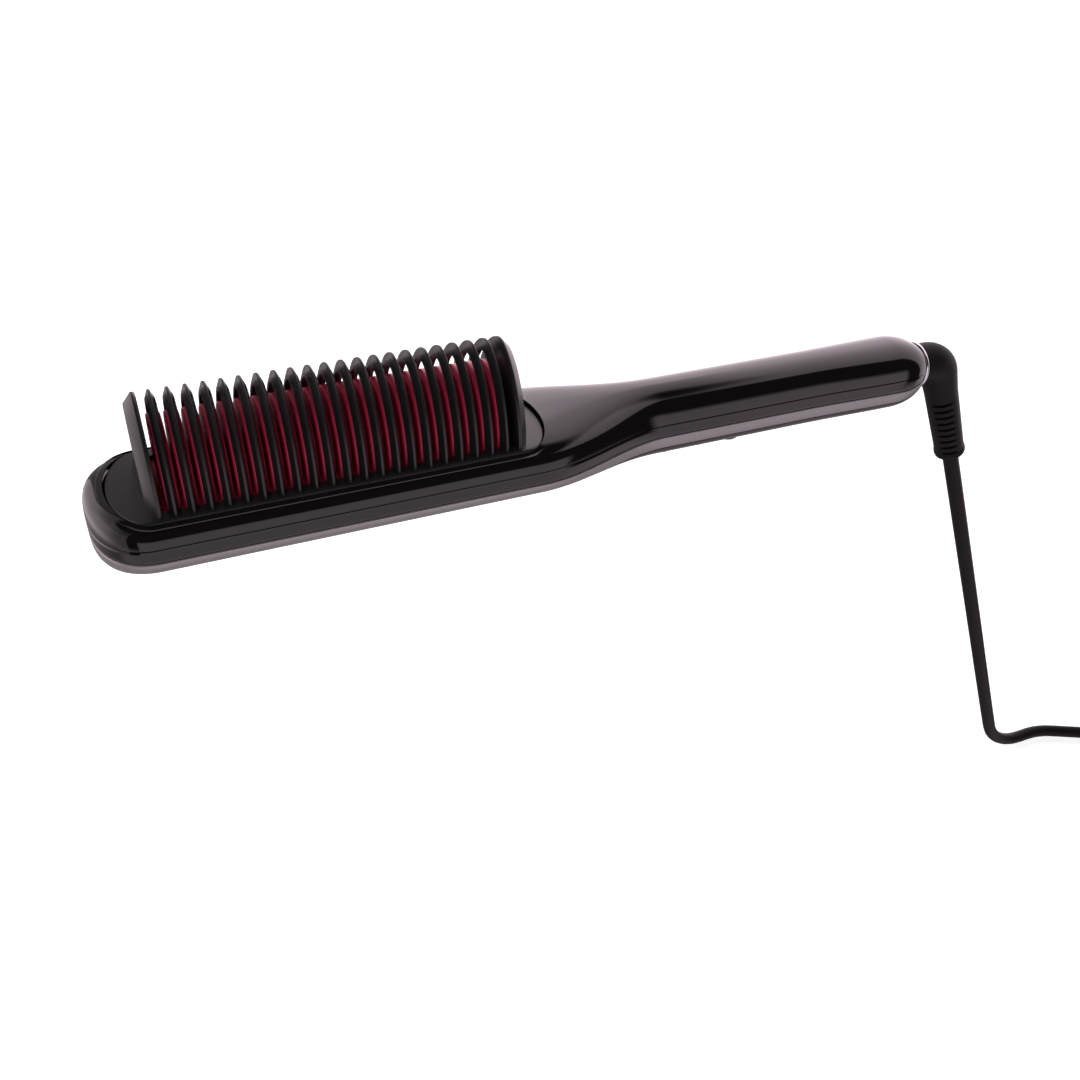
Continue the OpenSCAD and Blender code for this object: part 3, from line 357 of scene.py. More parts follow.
def plain_material(name, low, high, scale, roughness, metallic=0.0, bump_mm=0.05, strength=0.3, detail=3.0,
                   tone_noise=None, bump_noise=None, sockets=None):
    """A surface with two close tones, roughness between two values and a fine grain, all from one noise.

    scale is the noise's own per metre, as one value or as one along each axis. tone_noise and bump_noise give
    the roughness or the grain another noise, as (scale, detail). sockets sets the shader's other inputs.
    """
    material = bpy.data.materials.new(name)
    tree = empty_tree(material)
    place = add_node(tree, "ShaderNodeTexCoord")

    def noise(scale, detail):
        """Socket of a noise over the object."""
        stretched = add_node(tree, "ShaderNodeMapping", {"Vector": place.outputs["Object"],
                                                         "Scale": np.broadcast_to(scale, 3).tolist()})
        return add_node(tree, "ShaderNodeTexNoise",
                        {"Vector": stretched.outputs[0], "Scale": 1.0, "Detail": detail}).outputs["Fac"]

    grain = noise(scale, detail)
    tone_from = noise(*tone_noise) if tone_noise else grain
    bump_from = noise(*bump_noise) if bump_noise else grain
    colour = add_node(tree, "ShaderNodeMix", {"Factor": grain, "A": rgb(low), "B": rgb(high)},
                      data_type="RGBA")
    tone = add_node(tree, "ShaderNodeMapRange",
                    {"Value": tone_from, "To Min": roughness[0], "To Max": roughness[1]})
    bump = add_node(tree, "ShaderNodeBump",
                    {"Height": bump_from, "Strength": strength, "Distance": bump_mm * MM})
    inputs = {"Base Color": colour.outputs[2], "Roughness": tone.outputs[0], "Metallic": metallic,
              "Normal": bump.outputs[0]}
    skin = add_node(tree, "ShaderNodeBsdfPrincipled", {**inputs, **(sockets or {})})
    add_node(tree, "ShaderNodeOutputMaterial", {"Surface": skin.outputs[0]})
    return material


# Black PVC, extruded: even satin, with a faint drag from the die that catches the light along the cord.
pvc = plain_material("black_pvc_extruded", "#100c0e", "#151113", 260.0, (0.42, 0.52), bump_mm=0.3,
                     strength=0.12, sockets={"IOR": 1.5, "Specular IOR Level": 0.1})
cord = mesh_piece("cord", [grid(tube(cord_line, cord_r, 20), around=True, caps=True)], "swivel", pvc,
                  ["power_cord", "cord_hank", "cord_tail"])

# Strap of silicone rubber, closed round one side of the hank.
tie_w, tie_t, tie_gap = 10, 1.2, 0.4
tie_x = hank_x + hank_run - 14
tie_in = fold_r - cord_r - tie_gap
tie_out = hank_out_r + cord_r + tie_gap
tie_low = cord_z - cord_r - tie_gap
tie_high = cord_z + hank_pitch + cord_r + tie_gap


def round_loop(width, height, radius, steps):
    """Rounded rectangle about the origin: four quarter circles of that radius, each from steps points."""
    t = np.linspace(0, np.pi / 2, steps)
    arcs = []
    for quarter, (sx, sy) in enumerate(((1, 1), (-1, 1), (-1, -1), (1, -1))):
        a = t + quarter * np.pi / 2
        arcs.append(np.stack([sx * (width / 2 - radius) + radius * np.cos(a),
                              sy * (height / 2 - radius) + radius * np.sin(a)], axis=1))
    return np.concatenate(arcs)


def layers(rows):
    """One row of points for each (loop, height): the loop's two coordinates, and the height as a third."""
    return np.stack([np.concatenate([loop, np.full((len(loop), 1), up)], axis=1) for loop, up in rows])


def strap(loop_in, loop_out, width, edge):
    """Closed band between two loops in the plane, width deep, with its four long edges rounded by edge."""
    h = width / 2
    rows = [(0, h - edge), (0.15, h - 0.3 * edge), (0.3, h), (0.7, h), (0.85, h - 0.3 * edge), (1, h - edge),
            (1, edge - h), (0.85, 0.3 * edge - h), (0.7, -h), (0.3, -h), (0.15, 0.3 * edge - h),
            (0, edge - h)]
    return layers([(loop_in + (loop_out - loop_in) * s, d) for s, d in rows])


tie_mid = np.array([(tie_in + tie_out) / 2, (tie_low + tie_high) / 2])
tie_inner = round_loop(tie_out - tie_in, tie_high - tie_low, 1.8, 7) + tie_mid
tie_outer = round_loop(tie_out - tie_in + 2 * tie_t, tie_high - tie_low + 2 * tie_t, 3, 7) + tie_mid
band = strap(tie_inner, tie_outer, tie_w, 0.4)
tie_points = np.stack([tie_x + band[..., 2], band[..., 0], band[..., 1]], axis=-1)

# Moulded silicone: black that never looks deep, matt and slightly dusty.
silicone = plain_material("black_silicone_moulded", "#2a282a", "#2a282a", 900.0, (0.5, 0.68), bump_mm=0.2,
                          strength=0.15, detail=2.0,
                          sockets={"IOR": 1.43, "Sheen Weight": 0.15, "Sheen Roughness": 0.5})
cord_tie = mesh_piece("cord_tie_strap", [grid(tie_points, around=True, along=True)], "swivel", silicone,
                      ["cord_tie"])

# Plug moulded on the cord in the same PVC, with a ribbed relief and grooves for the fingers, and two brass
# blades.
plug_w = 24
plug_l = 30
plug_relief_l = 16
plug_start = np.array([hank_x + tail_l, plug_y, plug_z])


def on_plug(points):
    """Turns (along, across, up) sizes on the plug into places."""
    return plug_start + np.asarray(points, float)


def oval(size_y, size_z, n, steps):
    """Superellipse: (a cos^(2/n) t, b sin^(2/n) t), signs kept."""
    t = np.linspace(0, 2 * np.pi, steps, endpoint=False)
    c, s = np.cos(t), np.sin(t)
    return np.stack([size_y * np.sign(c) * np.abs(c) ** (2 / n),
                     size_z * np.sign(s) * np.abs(s) ** (2 / n)], axis=-1)


x = np.concatenate([np.linspace(0, plug_relief_l, 50), plug_relief_l + np.array([0, 0.3, 1, 2]),
                    np.linspace(plug_relief_l + 3, plug_relief_l + plug_l - 3, 60),
                    plug_relief_l + plug_l - np.array([2, 1.2, 0.5, 0.15, 0])])
relief = x <= plug_relief_l
ribs = np.where(relief & (x > 2) & (x < 14.5), 0.45 * np.clip(1.6 * np.sin(2 * np.pi * x / 2.5), -1, 1), 0)
relief_r = 4 + 1.1 * x / plug_relief_l + ribs
shoulder = np.clip((x - plug_relief_l) / 4, 0, 1)
shoulder = np.sqrt(np.clip(1 - (1 - shoulder) ** 2, 0, 1))
nose = np.sqrt(np.clip(1 - np.clip(1 - (plug_relief_l + plug_l - x) / 2, 0, 1) ** 2, 0.0, 1))
grip = np.exp(-((x - plug_relief_l - 12) / 7) ** 2)
grooves = np.where((x > plug_relief_l + 6) & (x < plug_relief_l + 19),
                   0.35 * np.clip(1.5 * np.sin(2 * np.pi * (x - plug_relief_l) / 3.2), -1, 1), 0)
edge = 0.9 * (1 - nose)
half_y = np.where(relief, relief_r, (plug_w / 2 - 1.6 * grip - grooves) * (0.62 + 0.38 * shoulder) - edge)
half_z = np.where(relief, relief_r, (plug_h / 2 - 0.2) * (0.72 + 0.28 * shoulder) - edge)
power = np.where(relief, 2.0, 4.5)
rings = np.stack([oval(a, b, n, 64) for a, b, n in zip(half_y, half_z, power)])
plug_points = np.concatenate([np.broadcast_to(x[:, None, None], rings.shape[:2] + (1,)), rings], axis=-1)
plug = mesh_piece("plug", [grid(on_plug(plug_points), around=True, caps=True)], "swivel", pvc,
                  ["plug_body"], smooth=50)

blade_l, blade_t, blade_h, blade_pitch = 16, 1.5, 6.35, 12.7
blade_hole_r, blade_hole_in = 1.6, 4.3


def blade(side):
    """Flat blade with a round hole: rings from the hole's circle to the blade's outline, on both faces."""
    t = np.linspace(0, 2 * np.pi, 48, endpoint=False)
    c, s = np.cos(t), np.sin(t)
    hole_x = blade_l - blade_hole_in
    hole = np.stack([hole_x + blade_hole_r * c, blade_hole_r * s], axis=-1)
    reach = np.stack([np.where(c > 0, blade_hole_in / np.maximum(c, 1e-6), hole_x / np.maximum(-c, 1e-6)),
                      blade_h / 2 / np.maximum(np.abs(s), 1e-6)], axis=-1).min(axis=-1)
    outline = np.stack([hole_x + reach * c, reach * s], axis=-1)
    across = hole - outline
    inner = outline + across * np.minimum(0.45 / np.linalg.norm(across, axis=1), 0.5)[:, None]
    by_hole = hole - 0.1 * across
    h = blade_t / 2
    rows = [(hole, h - 0.1), (by_hole, h), (inner, h), (outline, h - 0.4), (outline, 0.4 - h), (inner, -h),
            (by_hole, -h), (hole, 0.1 - h)]
    y0 = side * blade_pitch / 2
    along, up, across = np.moveaxis(layers(rows), -1, 0)
    return np.stack([plug_relief_l + plug_l + along, y0 + across, up], axis=-1)


# Drawn brass strip: long fine lines along the blades that stretch the highlights.
brass = plain_material("brass_drawn_strip", "#b8924a", "#d2b06a", (120.0, 900.0, 900.0), (0.22, 0.38),
                       metallic=1.0, strength=0.0)
blade_pair = [grid(on_plug(blade(side)), around=True, along=True) for side in (-1, 1)]
blades = mesh_piece("plug_blade_pair", blade_pair, "swivel", brass, ["plug_blades"])

# ---- Lower cover ----
# Bottom half of the casing, moulded in black ABS against a polished tool. It carries the groove for the
# trim, six screw towers, and the holes for the display window and the three buttons.

tooth_count, tooth_pitch = 23, 5.0
comb_l = (tooth_count - 1) * tooth_pitch
comb_x = -160.0
base_l, base_w, base_round = comb_l + 25, 41.0, 11.5
tip_x = comb_x - base_l / 2 - 6.5
nose_l = 18.0
neck_x, neck_l = comb_x + comb_l / 2 + 6, 51.0
end_x, end_round_l = 64.0, 14.0
seam_gap, widest_drop = 0.2, 2.3
mid_z = -widest_drop
trim_top, trim_h, trim_t = 4.6, 5.4, 1.0
casing_wall = 2.2
head_half_w, grip_half_w, flare_w = 24.5, 12.0, 1.3
head_rise, grip_rise = 7.7, 10.2
head_drop, grip_drop = 12.4, 15.8
end_hole_r = 8.1


def ease(t):
    """Smooth step from 0 to 1: t^2 (3 - 2t)."""
    t = np.clip(t, 0, 1)
    return t * t * (3 - 2 * t)


def bow(t, n):
    """Superellipse: the share (1 - |t|^n)^(1/n) of one half axis at a share t of the other."""
    return np.clip(1 - np.clip(np.abs(t), 0, 1) ** n, 0, 1) ** (1 / n)


def along_neck(x, head, grip):
    """The head's value up to the neck, the grip's value after it."""
    return head + (grip - head) * ease((x - neck_x) / neck_l)


def end_share(x, n):
    """How far the casing is drawn in: to nothing at the tip, and to about 0.7 at the cord end."""
    nose = bow(1 - (x - tip_x) / nose_l, n) if n else 1
    nose = np.where(x < tip_x + nose_l, nose, 1)
    tail = bow(np.clip((x - end_x) / end_round_l + 1, 0, 1) / 1.32, 2.2)
    return nose * tail


def half_width(x):
    """Half the casing's width at its widest line."""
    flare = flare_w * ease((x - 10) / (end_x - 20))
    return (along_neck(x, head_half_w, grip_half_w) + flare) * end_share(x, 2.2)


def rise(x):
    """Height of the casing over its widest line."""
    return (along_neck(x, head_rise, grip_rise) + widest_drop) * end_share(x, 5)


def full_drop(x):
    """Depth of the casing under its widest line, before the ends draw it in."""
    return along_neck(x, head_drop, grip_drop) - widest_drop


def drop(x):
    """Depth of the casing under its widest line."""
    return full_drop(x) * end_share(x, 5)


def round_up(x):
    """Power of the superellipse over the widest line."""
    return along_neck(x, 3.6, 2.3)


def round_down(x):
    """Power of the superellipse under the widest line."""
    return along_neck(x, 3.3, 2.3)


# Stations along the casing, close together at the tip (x = tip + nose s^2) and even elsewhere.
casing_x = np.concatenate([
    tip_x + nose_l * np.linspace(0.004, 1, 60, endpoint=False) ** 2,
    np.linspace(tip_x + nose_l, neck_x, 40, endpoint=False),
    np.linspace(neck_x, neck_x + neck_l, 60, endpoint=False),
    np.linspace(neck_x + neck_l, end_x - end_round_l, 24, endpoint=False),
    np.linspace(end_x - end_round_l, end_x, 30)])


def pulled_in(x, depth):
    """Moves a station in from the tip and from the end as a wall or groove of that depth does."""
    share = (x - tip_x) / (end_x - tip_x)
    return tip_x + depth + (end_x - tip_x - 2 * depth) * share


def side_point(x, z_up=None, share=None, depth=0.0, side=1):
    """A point of the lower cover: at height z_up over the widest line, or at a share of the drop under it."""
    if z_up is not None:
        y = (half_width(x) - depth * end_share(x, 2.2)) * bow(z_up / np.maximum(rise(x), 1e-6), round_up(x))
        z = mid_z + np.minimum(z_up, rise(x))
    else:
        y = (half_width(x) - depth * end_share(x, 2.2)) * bow(share, round_down(x))
        z = mid_z - drop(x) * share
    return np.stack(np.broadcast_arrays(pulled_in(x, depth), side * y, z), axis=-1)


def lower_section(x, side):
    """Columns of the lower cover on one side, from the seam down to the keel, over the stations x.

    curl is the radius of the edges at the seam and at the trim's groove.
    """
    curl = 0.6
    hi = (trim_top - widest_drop) / full_drop(x)
    lo = (trim_top + trim_h - widest_drop) / full_drop(x)
    e = curl / full_drop(x)
    top = widest_drop - seam_gap / 2
    spots = [{"z_up": z, "depth": d} for z, d in ((top - 0.02, 1.2), (top - 0.02, curl),
                                                  (top - 0.3 * curl, 0.3 * curl))]
    spots += [{"z_up": z} for z in np.linspace(top - curl, 0, 5)[:-1]]
    spots += [{"share": s * (hi - e)} for s in np.linspace(0, 1, 5)]
    spots += [{"share": s, "depth": d} for s, d in ((hi - 0.3 * e, 0.3 * curl), (hi, curl), (hi, trim_t),
                                                    (lo, trim_t), (lo, curl), (lo + 0.3 * e, 0.3 * curl))]
    n = round_down(x)
    start = np.arcsin(np.clip(lo + e, 0, 1) ** (n / 2))
    spots += [{"share": np.sin(start + (np.pi / 2 - start) * t) ** (2 / n)} for t in np.linspace(0, 1, 26)]
    return [side_point(x, side=side, **spot) for spot in spots]


def end_wall(edge, hole_r, x):
    """Flat end: from the edge of the casing in to the round seat of the bush, in four rows."""
    across = edge[:, 1:] - np.array([0, mid_z])
    circle = hole_r * unit(across) + np.array([0, mid_z])
    rows = [(edge[:, 1:] + (circle - edge[:, 1:]) * s, x) for s in (0.12, 0.5, 1.0)]
    return layers(rows + [(circle, x - 6)])[..., [2, 0, 1]]


def inner_section(x, side, count):
    """As many columns on the inner surface, a wall further in: a plain curve from the seam to the keel."""
    seam_share = 0.15
    inset = casing_wall * end_share(x, 2.2)
    wide, deep = half_width(x) - inset, drop(x) - casing_wall * end_share(x, 5)
    along = tip_x + casing_wall + (x - tip_x) * (end_x - 10 - casing_wall - tip_x) / (end_x - tip_x)
    t = np.linspace(0, 1, count)[:, None]
    z_up = (widest_drop - seam_gap / 2) * (1 - np.clip(t / seam_share, 0, 1))
    phi = np.clip((t - seam_share) / (1 - seam_share), 0, 1) * np.pi / 2
    n = round_down(x)
    y = wide * np.clip(np.cos(phi), 0, 1) ** (2 / n)
    z = mid_z + z_up - deep * np.sin(phi) ** (2 / n)
    return [np.stack([along, side * row, high], axis=-1) for row, high in zip(y, z)]


def closed_shell(outer, inner):
    """One closed surface from an outer and an inner grid of the same size, joined along all four edges."""
    rows, cols = outer.shape[:2]
    points, faces = grid(outer)
    extra = rows * cols
    faces += [[extra + i for i in face[::-1]] for face in grid(inner)[1]]
    index = np.arange(extra).reshape(rows, cols)
    border = np.concatenate([index[0], index[1:, -1], index[-1, -2::-1], index[-2:0:-1, 0]]).tolist()
    faces += [[p, q, q + extra, p + extra] for p, q in zip(border[1:] + border[:1], border)]
    return np.concatenate([points, inner.reshape(-1, 3)]), faces


sides = [lower_section(casing_x, side) for side in (1, -1)]
inner_sides = [inner_section(casing_x, side, len(sides[0])) for side in (1, -1)]
lower_grid = np.stack(sides[0] + sides[1][-2::-1], axis=1)
inner_grid = np.stack(inner_sides[0] + inner_sides[1][-2::-1], axis=1)
lower_end = end_wall(lower_grid[-1], end_hole_r, end_x)
seat = lower_end[-1] - [[1, 0, 0]]
inner_end = np.stack([seat - [[d, 0, 0]] for d in (3.0, 2.9, 2.0, 1.0)])
lower_grid = np.concatenate([lower_grid, lower_end])
inner_grid = np.concatenate([inner_grid, inner_end])

# Black ABS from a polished tool: deep gloss, with a very slight long wave that bends the reflections.
abs_gloss = plain_material("black_abs_polished", "#040304", "#080608", 600.0, (0.035, 0.07), bump_mm=0.4,
                           strength=0.04, detail=4.0, bump_noise=(45.0, 1.0), sockets={"IOR": 1.54})


def lathe(profile, place, steps=64):
    """Turned solid about a vertical line: each (radius, height) of a profile goes round in a circle."""
    profile = np.asarray(profile, float)
    t = np.linspace(0, 2 * np.pi, steps, endpoint=False)
    r, z = profile[:, :1], profile[:, 1:]
    return np.stack(np.broadcast_arrays(place[0] + r * np.cos(t), place[1] + r * np.sin(t), z), axis=-1)


def floor_z(x):
    """Height of the keel of the casing."""
    return mid_z - float(drop(np.array(float(x))))


recess_r, screw_hole_r, tower_r = 2.6, 1.4, 4.0
recess_low, recess_top = 1.2, 3.4
button_gap = 0.25
guard_boss = [(comb_x + sx * (base_l / 2 - 7.5), sy * (base_w / 2 - 10)) for sx in (-1, 1) for sy in (-1, 1)]
case_boss = [(14.0, 0.0), (28.0, 0.0)]
button_places = [(-16.0, 9.0), (-29.5, 7.6), (-43.0, 7.6)]
window_x, window_l, window_w = -61.0, 17.0, 9.0


def rod(radius, x, y, z0, z1, steps=64):
    """Round bar between two heights."""
    return grid(lathe([(radius, z0), (radius, z1)], (x, y), steps), around=True, caps=True)


def slab(loop, z0, z1):
    """Prism over a loop in plan."""
    return grid(layers([(loop, z0), (loop, z1)]), around=True, caps=True)


def apply_all(piece):
    """Bakes the piece's modifiers into its mesh."""
    graph = bpy.context.evaluated_depsgraph_get()
    done = bpy.data.meshes.new_from_object(piece.evaluated_get(graph))
    piece.modifiers.clear()
    piece.data = done


lower = mesh_piece("lower_shell", [closed_shell(lower_grid, inner_grid)], "casing", abs_gloss,
                   ["lower_cover"], smooth=40)
holes = [rod(recess_r, bx, by, floor_z(bx) - 3, floor_z(bx) + 8) for bx, by in guard_boss + case_boss]
holes += [rod(d / 2 + button_gap, bx, 0, floor_z(bx) - 3, floor_z(bx) + 6) for bx, d in button_places]
holes += [slab(round_loop(window_l, window_w, 2, 9) + np.array([window_x, 0]), floor_z(window_x) - 3,
               floor_z(window_x) + 6)]
tool = add_object("hole_tools", joined_mesh("hole_tools", holes, weld=False))
cut = lower.modifiers.new("holes", "BOOLEAN")
cut.operation = "DIFFERENCE"
cut.solver = "EXACT"
cut.object = tool
apply_all(lower)
bpy.data.objects.remove(tool)
lower.data.set_sharp_from_angle(angle=np.radians(40))

tower_parts = []
for bx, by in guard_boss + case_boss:
    low, top = floor_z(bx), (-8.0 if by == 0 else -2.6)
    profile = [(recess_r, low + recess_low), (recess_r, low + recess_top), (screw_hole_r, low + recess_top),
               (screw_hole_r, top), (tower_r, top), (tower_r, low + recess_low)]
    tower_parts.append(grid(lathe(profile, (bx, by)), around=True, along=True))
mesh_piece("screw_towers", tower_parts, "casing", abs_gloss)

# ---- Trim ----
# Pale band all round the lower cover, moulded and sprayed in satin silver, pressed into its groove.


def band_section(x, side):
    """Closed section of the band at every station: flush outside, rounded edges, thin gap to the groove."""
    d = full_drop(x)
    hi = (trim_top - widest_drop + 0.4) / d
    lo = (trim_top + trim_h - widest_drop - 0.15) / d
    e = 0.35 / d
    mid = (hi + lo) / 2
    back = trim_t - 0.1
    spots = [(hi + e, 0), (hi + 2 * e, 0), (mid, 0), (lo - 2 * e, 0), (lo - e, 0), (lo - 0.3 * e, 0.1),
             (lo, 0.35), (lo, back), (mid, back), (hi, back), (hi, 0.35), (hi + 0.3 * e, 0.1)]
    return [side_point(x, share=s, depth=g, side=side) for s, g in spots]


band_right = np.stack(band_section(casing_x[::-1], 1), axis=1)
band_left = np.stack(band_section(casing_x, -1), axis=1)
band_loops = np.concatenate([band_right, band_left])

# Silver lacquer sprayed on ABS: a soft metal sheen under a thin clear coat, with barely visible flakes.
silver = bpy.data.materials.new("silver_lacquer_satin")
tree = empty_tree(silver)
place = add_node(tree, "ShaderNodeTexCoord")
flake = add_node(tree, "ShaderNodeTexVoronoi", {"Vector": place.outputs["Object"], "Scale": 2500.0})
cloud = add_node(tree, "ShaderNodeTexNoise",
                 {"Vector": place.outputs["Object"], "Scale": 60.0, "Detail": 3.0})
glint = add_node(tree, "ShaderNodeMix", {"Factor": 0.12, "A": rgb("#8a8588"), "B": flake.outputs["Color"]},
                 data_type="RGBA", blend_type="SOFT_LIGHT")
tone = add_node(tree, "ShaderNodeMapRange", {"Value": cloud.outputs["Fac"], "To Min": 0.3, "To Max": 0.4})
skin = add_node(tree, "ShaderNodeBsdfPrincipled",
                {"Base Color": glint.outputs[2], "Metallic": 0.55, "Roughness": tone.outputs[0],
                 "Coat Weight": 0.1, "Coat Roughness": 0.2})
add_node(tree, "ShaderNodeOutputMaterial", {"Surface": skin.outputs[0]})
mesh_piece("silver_band", [grid(band_loops, around=True, caps=True)], "casing", silver,
           ["trim_band"], smooth=50)

# ---- Heater parts ----
# Inside the head: ceramic bars, mica, the spring clamp, the sensor and the fuse. They keep their CAD shapes.


def dress(node, material):
    """Puts the material on a CAD node that stays as it is."""
    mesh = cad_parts[node].data
    mesh.materials.clear()
    mesh.materials.append(material)


spring_steel = plain_material("spring_steel_rolled", "#a7aaae", "#c3c6ca", 500.0, (0.25, 0.4), metallic=1.0)
dress("heater_bars", plain_material("alumina_sintered", "#e2dccd", "#efe9dc", 700.0, (0.5, 0.65)))
dress("mica_sheet", plain_material("mica_pressed", "#bda873", "#d1c092", 300.0, (0.25, 0.45)))
dress("heater_clamp", spring_steel)
dress("temperature_sensor", plain_material("bead_glass_amber", "#352318", "#45301f", 200.0, (0.08, 0.14)))
dress("thermal_fuse", spring_steel)

# ---- Heating plate ----
# Cast and machined aluminium, anodised dark red: a plate with one fin under every arch.

fin_t, fin_hw = 4.0, 15.2
plate_z, plate_t = 1.7, 3.8
plate_top = plate_z + plate_t
base_top = 6.6
tooth_h, crown_t, tooth_t = 29.4, 3.6, 2.8
foot_hw, leg_w = 19.4, 3.4
fin_top = base_top + tooth_h - crown_t - 4.4
tooth_x = comb_x - comb_l / 2 + tooth_pitch * np.arange(tooth_count)


def arch_outline(w, h, n, steps):
    """Half superellipse on its flat side: (w cos^(2/n) t, h sin^(2/n) t) for t from 0 to 180 degrees."""
    t = np.linspace(0, np.pi, steps)
    c, s = np.cos(t), np.sin(t)
    return np.stack([w * np.sign(c) * np.abs(c) ** (2 / n), h * np.clip(s, 0, 1) ** (2 / n)], axis=-1)


def arch_plate(x, t, w, h, n, z0, right, left, steps=64):
    """Closed plate with an arch outline: rows run from the middle of one face, over the rim, to the other.

    right and left give each face's rim as (inset, depth) pairs, from the face to the plate's full outline.
    """
    line = arch_outline(w, h, n, steps)
    rows = []
    for way, rim in ((1, right), (-1, left)):
        inner = arch_outline(w - rim[0][0], h - rim[0][0], n, steps)
        loops = [(inner * s, t / 2) for s in (0.0, 0.5, 0.9)]
        loops += [(inner + (line - inner) * (1 - inset / rim[0][0]), t / 2 - depth) for inset, depth in rim]
        rows += [(loop, way * d) for loop, d in loops[::way]]
    across, up, along = np.moveaxis(layers(rows), -1, 0)
    points, faces = grid(np.stack([x + along, across, z0 + up], axis=-1))
    feet = np.arange(len(points)).reshape(across.shape)[:, [0, -1]].tolist()
    faces += [[a, c, d, b] for (a, b), (c, d) in zip(feet, feet[1:])]
    return points, faces


# Anodised aluminium: the dye lies in the surface, so it stays red in its highlights, drawn out by the
# machining.
anodised = plain_material("red_anodised_aluminium", "#a81c3c", "#b82c4c", (700.0, 700.0, 60.0), (0.3, 0.44),
                          metallic=0.35, bump_mm=0.1, strength=0.15)

plate_loop = round_loop(comb_l - tooth_t - 0.4, 2 * (foot_hw - leg_w - 0.2), 0.6, 4)
plate_edge, plate_half = 0.3, np.array([53, 16])
plate_rims = ((plate_edge, plate_z), (0, plate_z + plate_edge), (0, plate_top - plate_edge),
              (plate_edge, plate_top))
plate_rows = layers([(plate_loop * (1 - i / plate_half) + [comb_x, 0], z) for i, z in plate_rims])
plate_parts = [grid(plate_rows, around=True, caps=True)]
fin_rim = [(0.7, 0.0), (0.43, 0.05), (0.2, 0.2), (0.05, 0.43), (0.0, 0.65)]
fin_sink = 0.5
plate_parts += [arch_plate(fx, fin_t, fin_hw, fin_top - plate_top + fin_sink, 2.2, plate_top - fin_sink,
                           fin_rim, fin_rim) for fx in tooth_x[1:-1]]
mesh_piece("finned_plate", plate_parts, "casing", anodised, ["heating_plate"], smooth=45)

# ---- Comb guard ----
# Base and arched teeth moulded in one piece in heat-proof black nylon with a satin finish. The two end walls
# are closed, and they and the teeth have bevelled outer edges.

# Glass-filled nylon from a fine spark-eroded tool: satin, in patches a little shinier or duller.
nylon = plain_material("black_nylon_satin", "#0c0d0e", "#131415", 1100.0, (0.3, 0.42), bump_mm=0.1,
                       strength=0.1, tone_noise=(70.0, 2.0),
                       sockets={"IOR": 1.53, "Specular IOR Level": 0.45})

base_z = 1.4
tooth_round = 1.75
ridge_t = 0.8


def arch_rib(x, steps=72):
    """One tooth: a section with a roof-shaped outer edge carried along the arch between two superellipses."""
    outer = arch_outline(foot_hw, tooth_h + 1, tooth_round, steps)
    inner = arch_outline(foot_hw - leg_w, tooth_h + 1 - crown_t, tooth_round, steps)
    thick = np.linalg.norm(outer - inner, axis=1)[:, None]
    h, r = tooth_t / 2, ridge_t / 2
    section = [(0.3, h, 0), (0.0, h - 0.3, 0), (0.0, 0.3 - h, 0), (0.3, -h, 0),
               (0.72, -h, 1), (0.66, 0.05 - h, 1), (0.03, -r, 1), (0.0, 0.2 - r, 1),
               (0.0, r - 0.2, 1), (0.03, r, 1), (0.66, h - 0.05, 1), (0.72, h, 1)]
    rows = []
    for inset, d, at_outer in section:
        share = 1 - inset if at_outer else inset / thick
        line = inner + (outer - inner) * share
        rows.append(np.stack([np.full(steps, x + d), line[:, 0], base_top - 1 + line[:, 1]], axis=-1))
    return grid(np.stack(rows, axis=1), around=True, caps=True)


def plan_loops(count):
    """Matching points round the base and round its opening, and the way out of the base at each of them.

    The base's ends are half ellipses: straight + a cos t along and b sin t across.
    """
    outer, outward, inner = [], [], []
    t = np.linspace(0, 1, count)
    half = np.array([base_round, base_w / 2])
    for quarter, (sx, sy) in enumerate(((1, 1), (-1, 1), (-1, -1), (1, -1))):
        a = (t + quarter) * np.pi / 2
        way = np.stack([np.cos(a), np.sin(a)], axis=1)
        outer.append([comb_x + sx * (base_l / 2 - base_round), 0] + half * way)
        outward.append(unit(way / half))
        corner = [comb_x + sx * (comb_l / 2 - tooth_t / 2 - 0.4), sy * (foot_hw - leg_w - 0.4)]
        inner.append(corner + 0.4 * way)
    return np.concatenate(outer), np.concatenate(outward), np.concatenate(inner)


outline, outward, opening = plan_loops(24)
edge_r = 0.8
base_rows = [(outline, base_z), (outline, base_top - edge_r)]
for a in np.linspace(0.2, 1, 6) * np.pi / 2:
    base_rows.append((outline - outward * edge_r * (1 - np.cos(a)), base_top - edge_r * (1 - np.sin(a))))
base_rows += [(opening, base_top), (opening, base_z)]
guard_parts = [grid(layers(base_rows), around=True, along=True)]
guard_parts += [arch_rib(tx) for tx in tooth_x[1:-1]]
end_wall_extra = 1.0
bevelled = [(3.2, 0.0), (3.0, 0.05), (0.25, 2.4), (0.05, 2.6), (0.0, 2.85)]
rounded = [(0.7, 0.0), (0.2, 0.2), (0.0, 0.7)]
guard_parts += [arch_plate(comb_x + side * (comb_l + end_wall_extra) / 2, tooth_t + end_wall_extra, foot_hw,
                           tooth_h + 1, tooth_round, base_top - 1, right, left, 80)
                for side, right, left in ((-1, rounded, bevelled), (1, bevelled, rounded))]
mesh_piece("tooth_guard", guard_parts, "casing", nylon, ["comb_guard"], smooth=28)

# ---- Upper cover ----
# Top half of the casing in the same polished ABS, with the opening that the guard's base fills.


def cover_top(x, y):
    """Height of the upper cover over a place in plan: z = mid + rise (1 - |y / half width|^n)^(1/n)."""
    return mid_z + rise(x) * bow(y / np.maximum(half_width(x), 1e-6), round_up(x))


def seam_y(x):
    """Half width of the casing where the upper cover ends, just over the parting plane."""
    return half_width(x) * bow((widest_drop + seam_gap / 2) / np.maximum(rise(x), 1e-6), round_up(x))


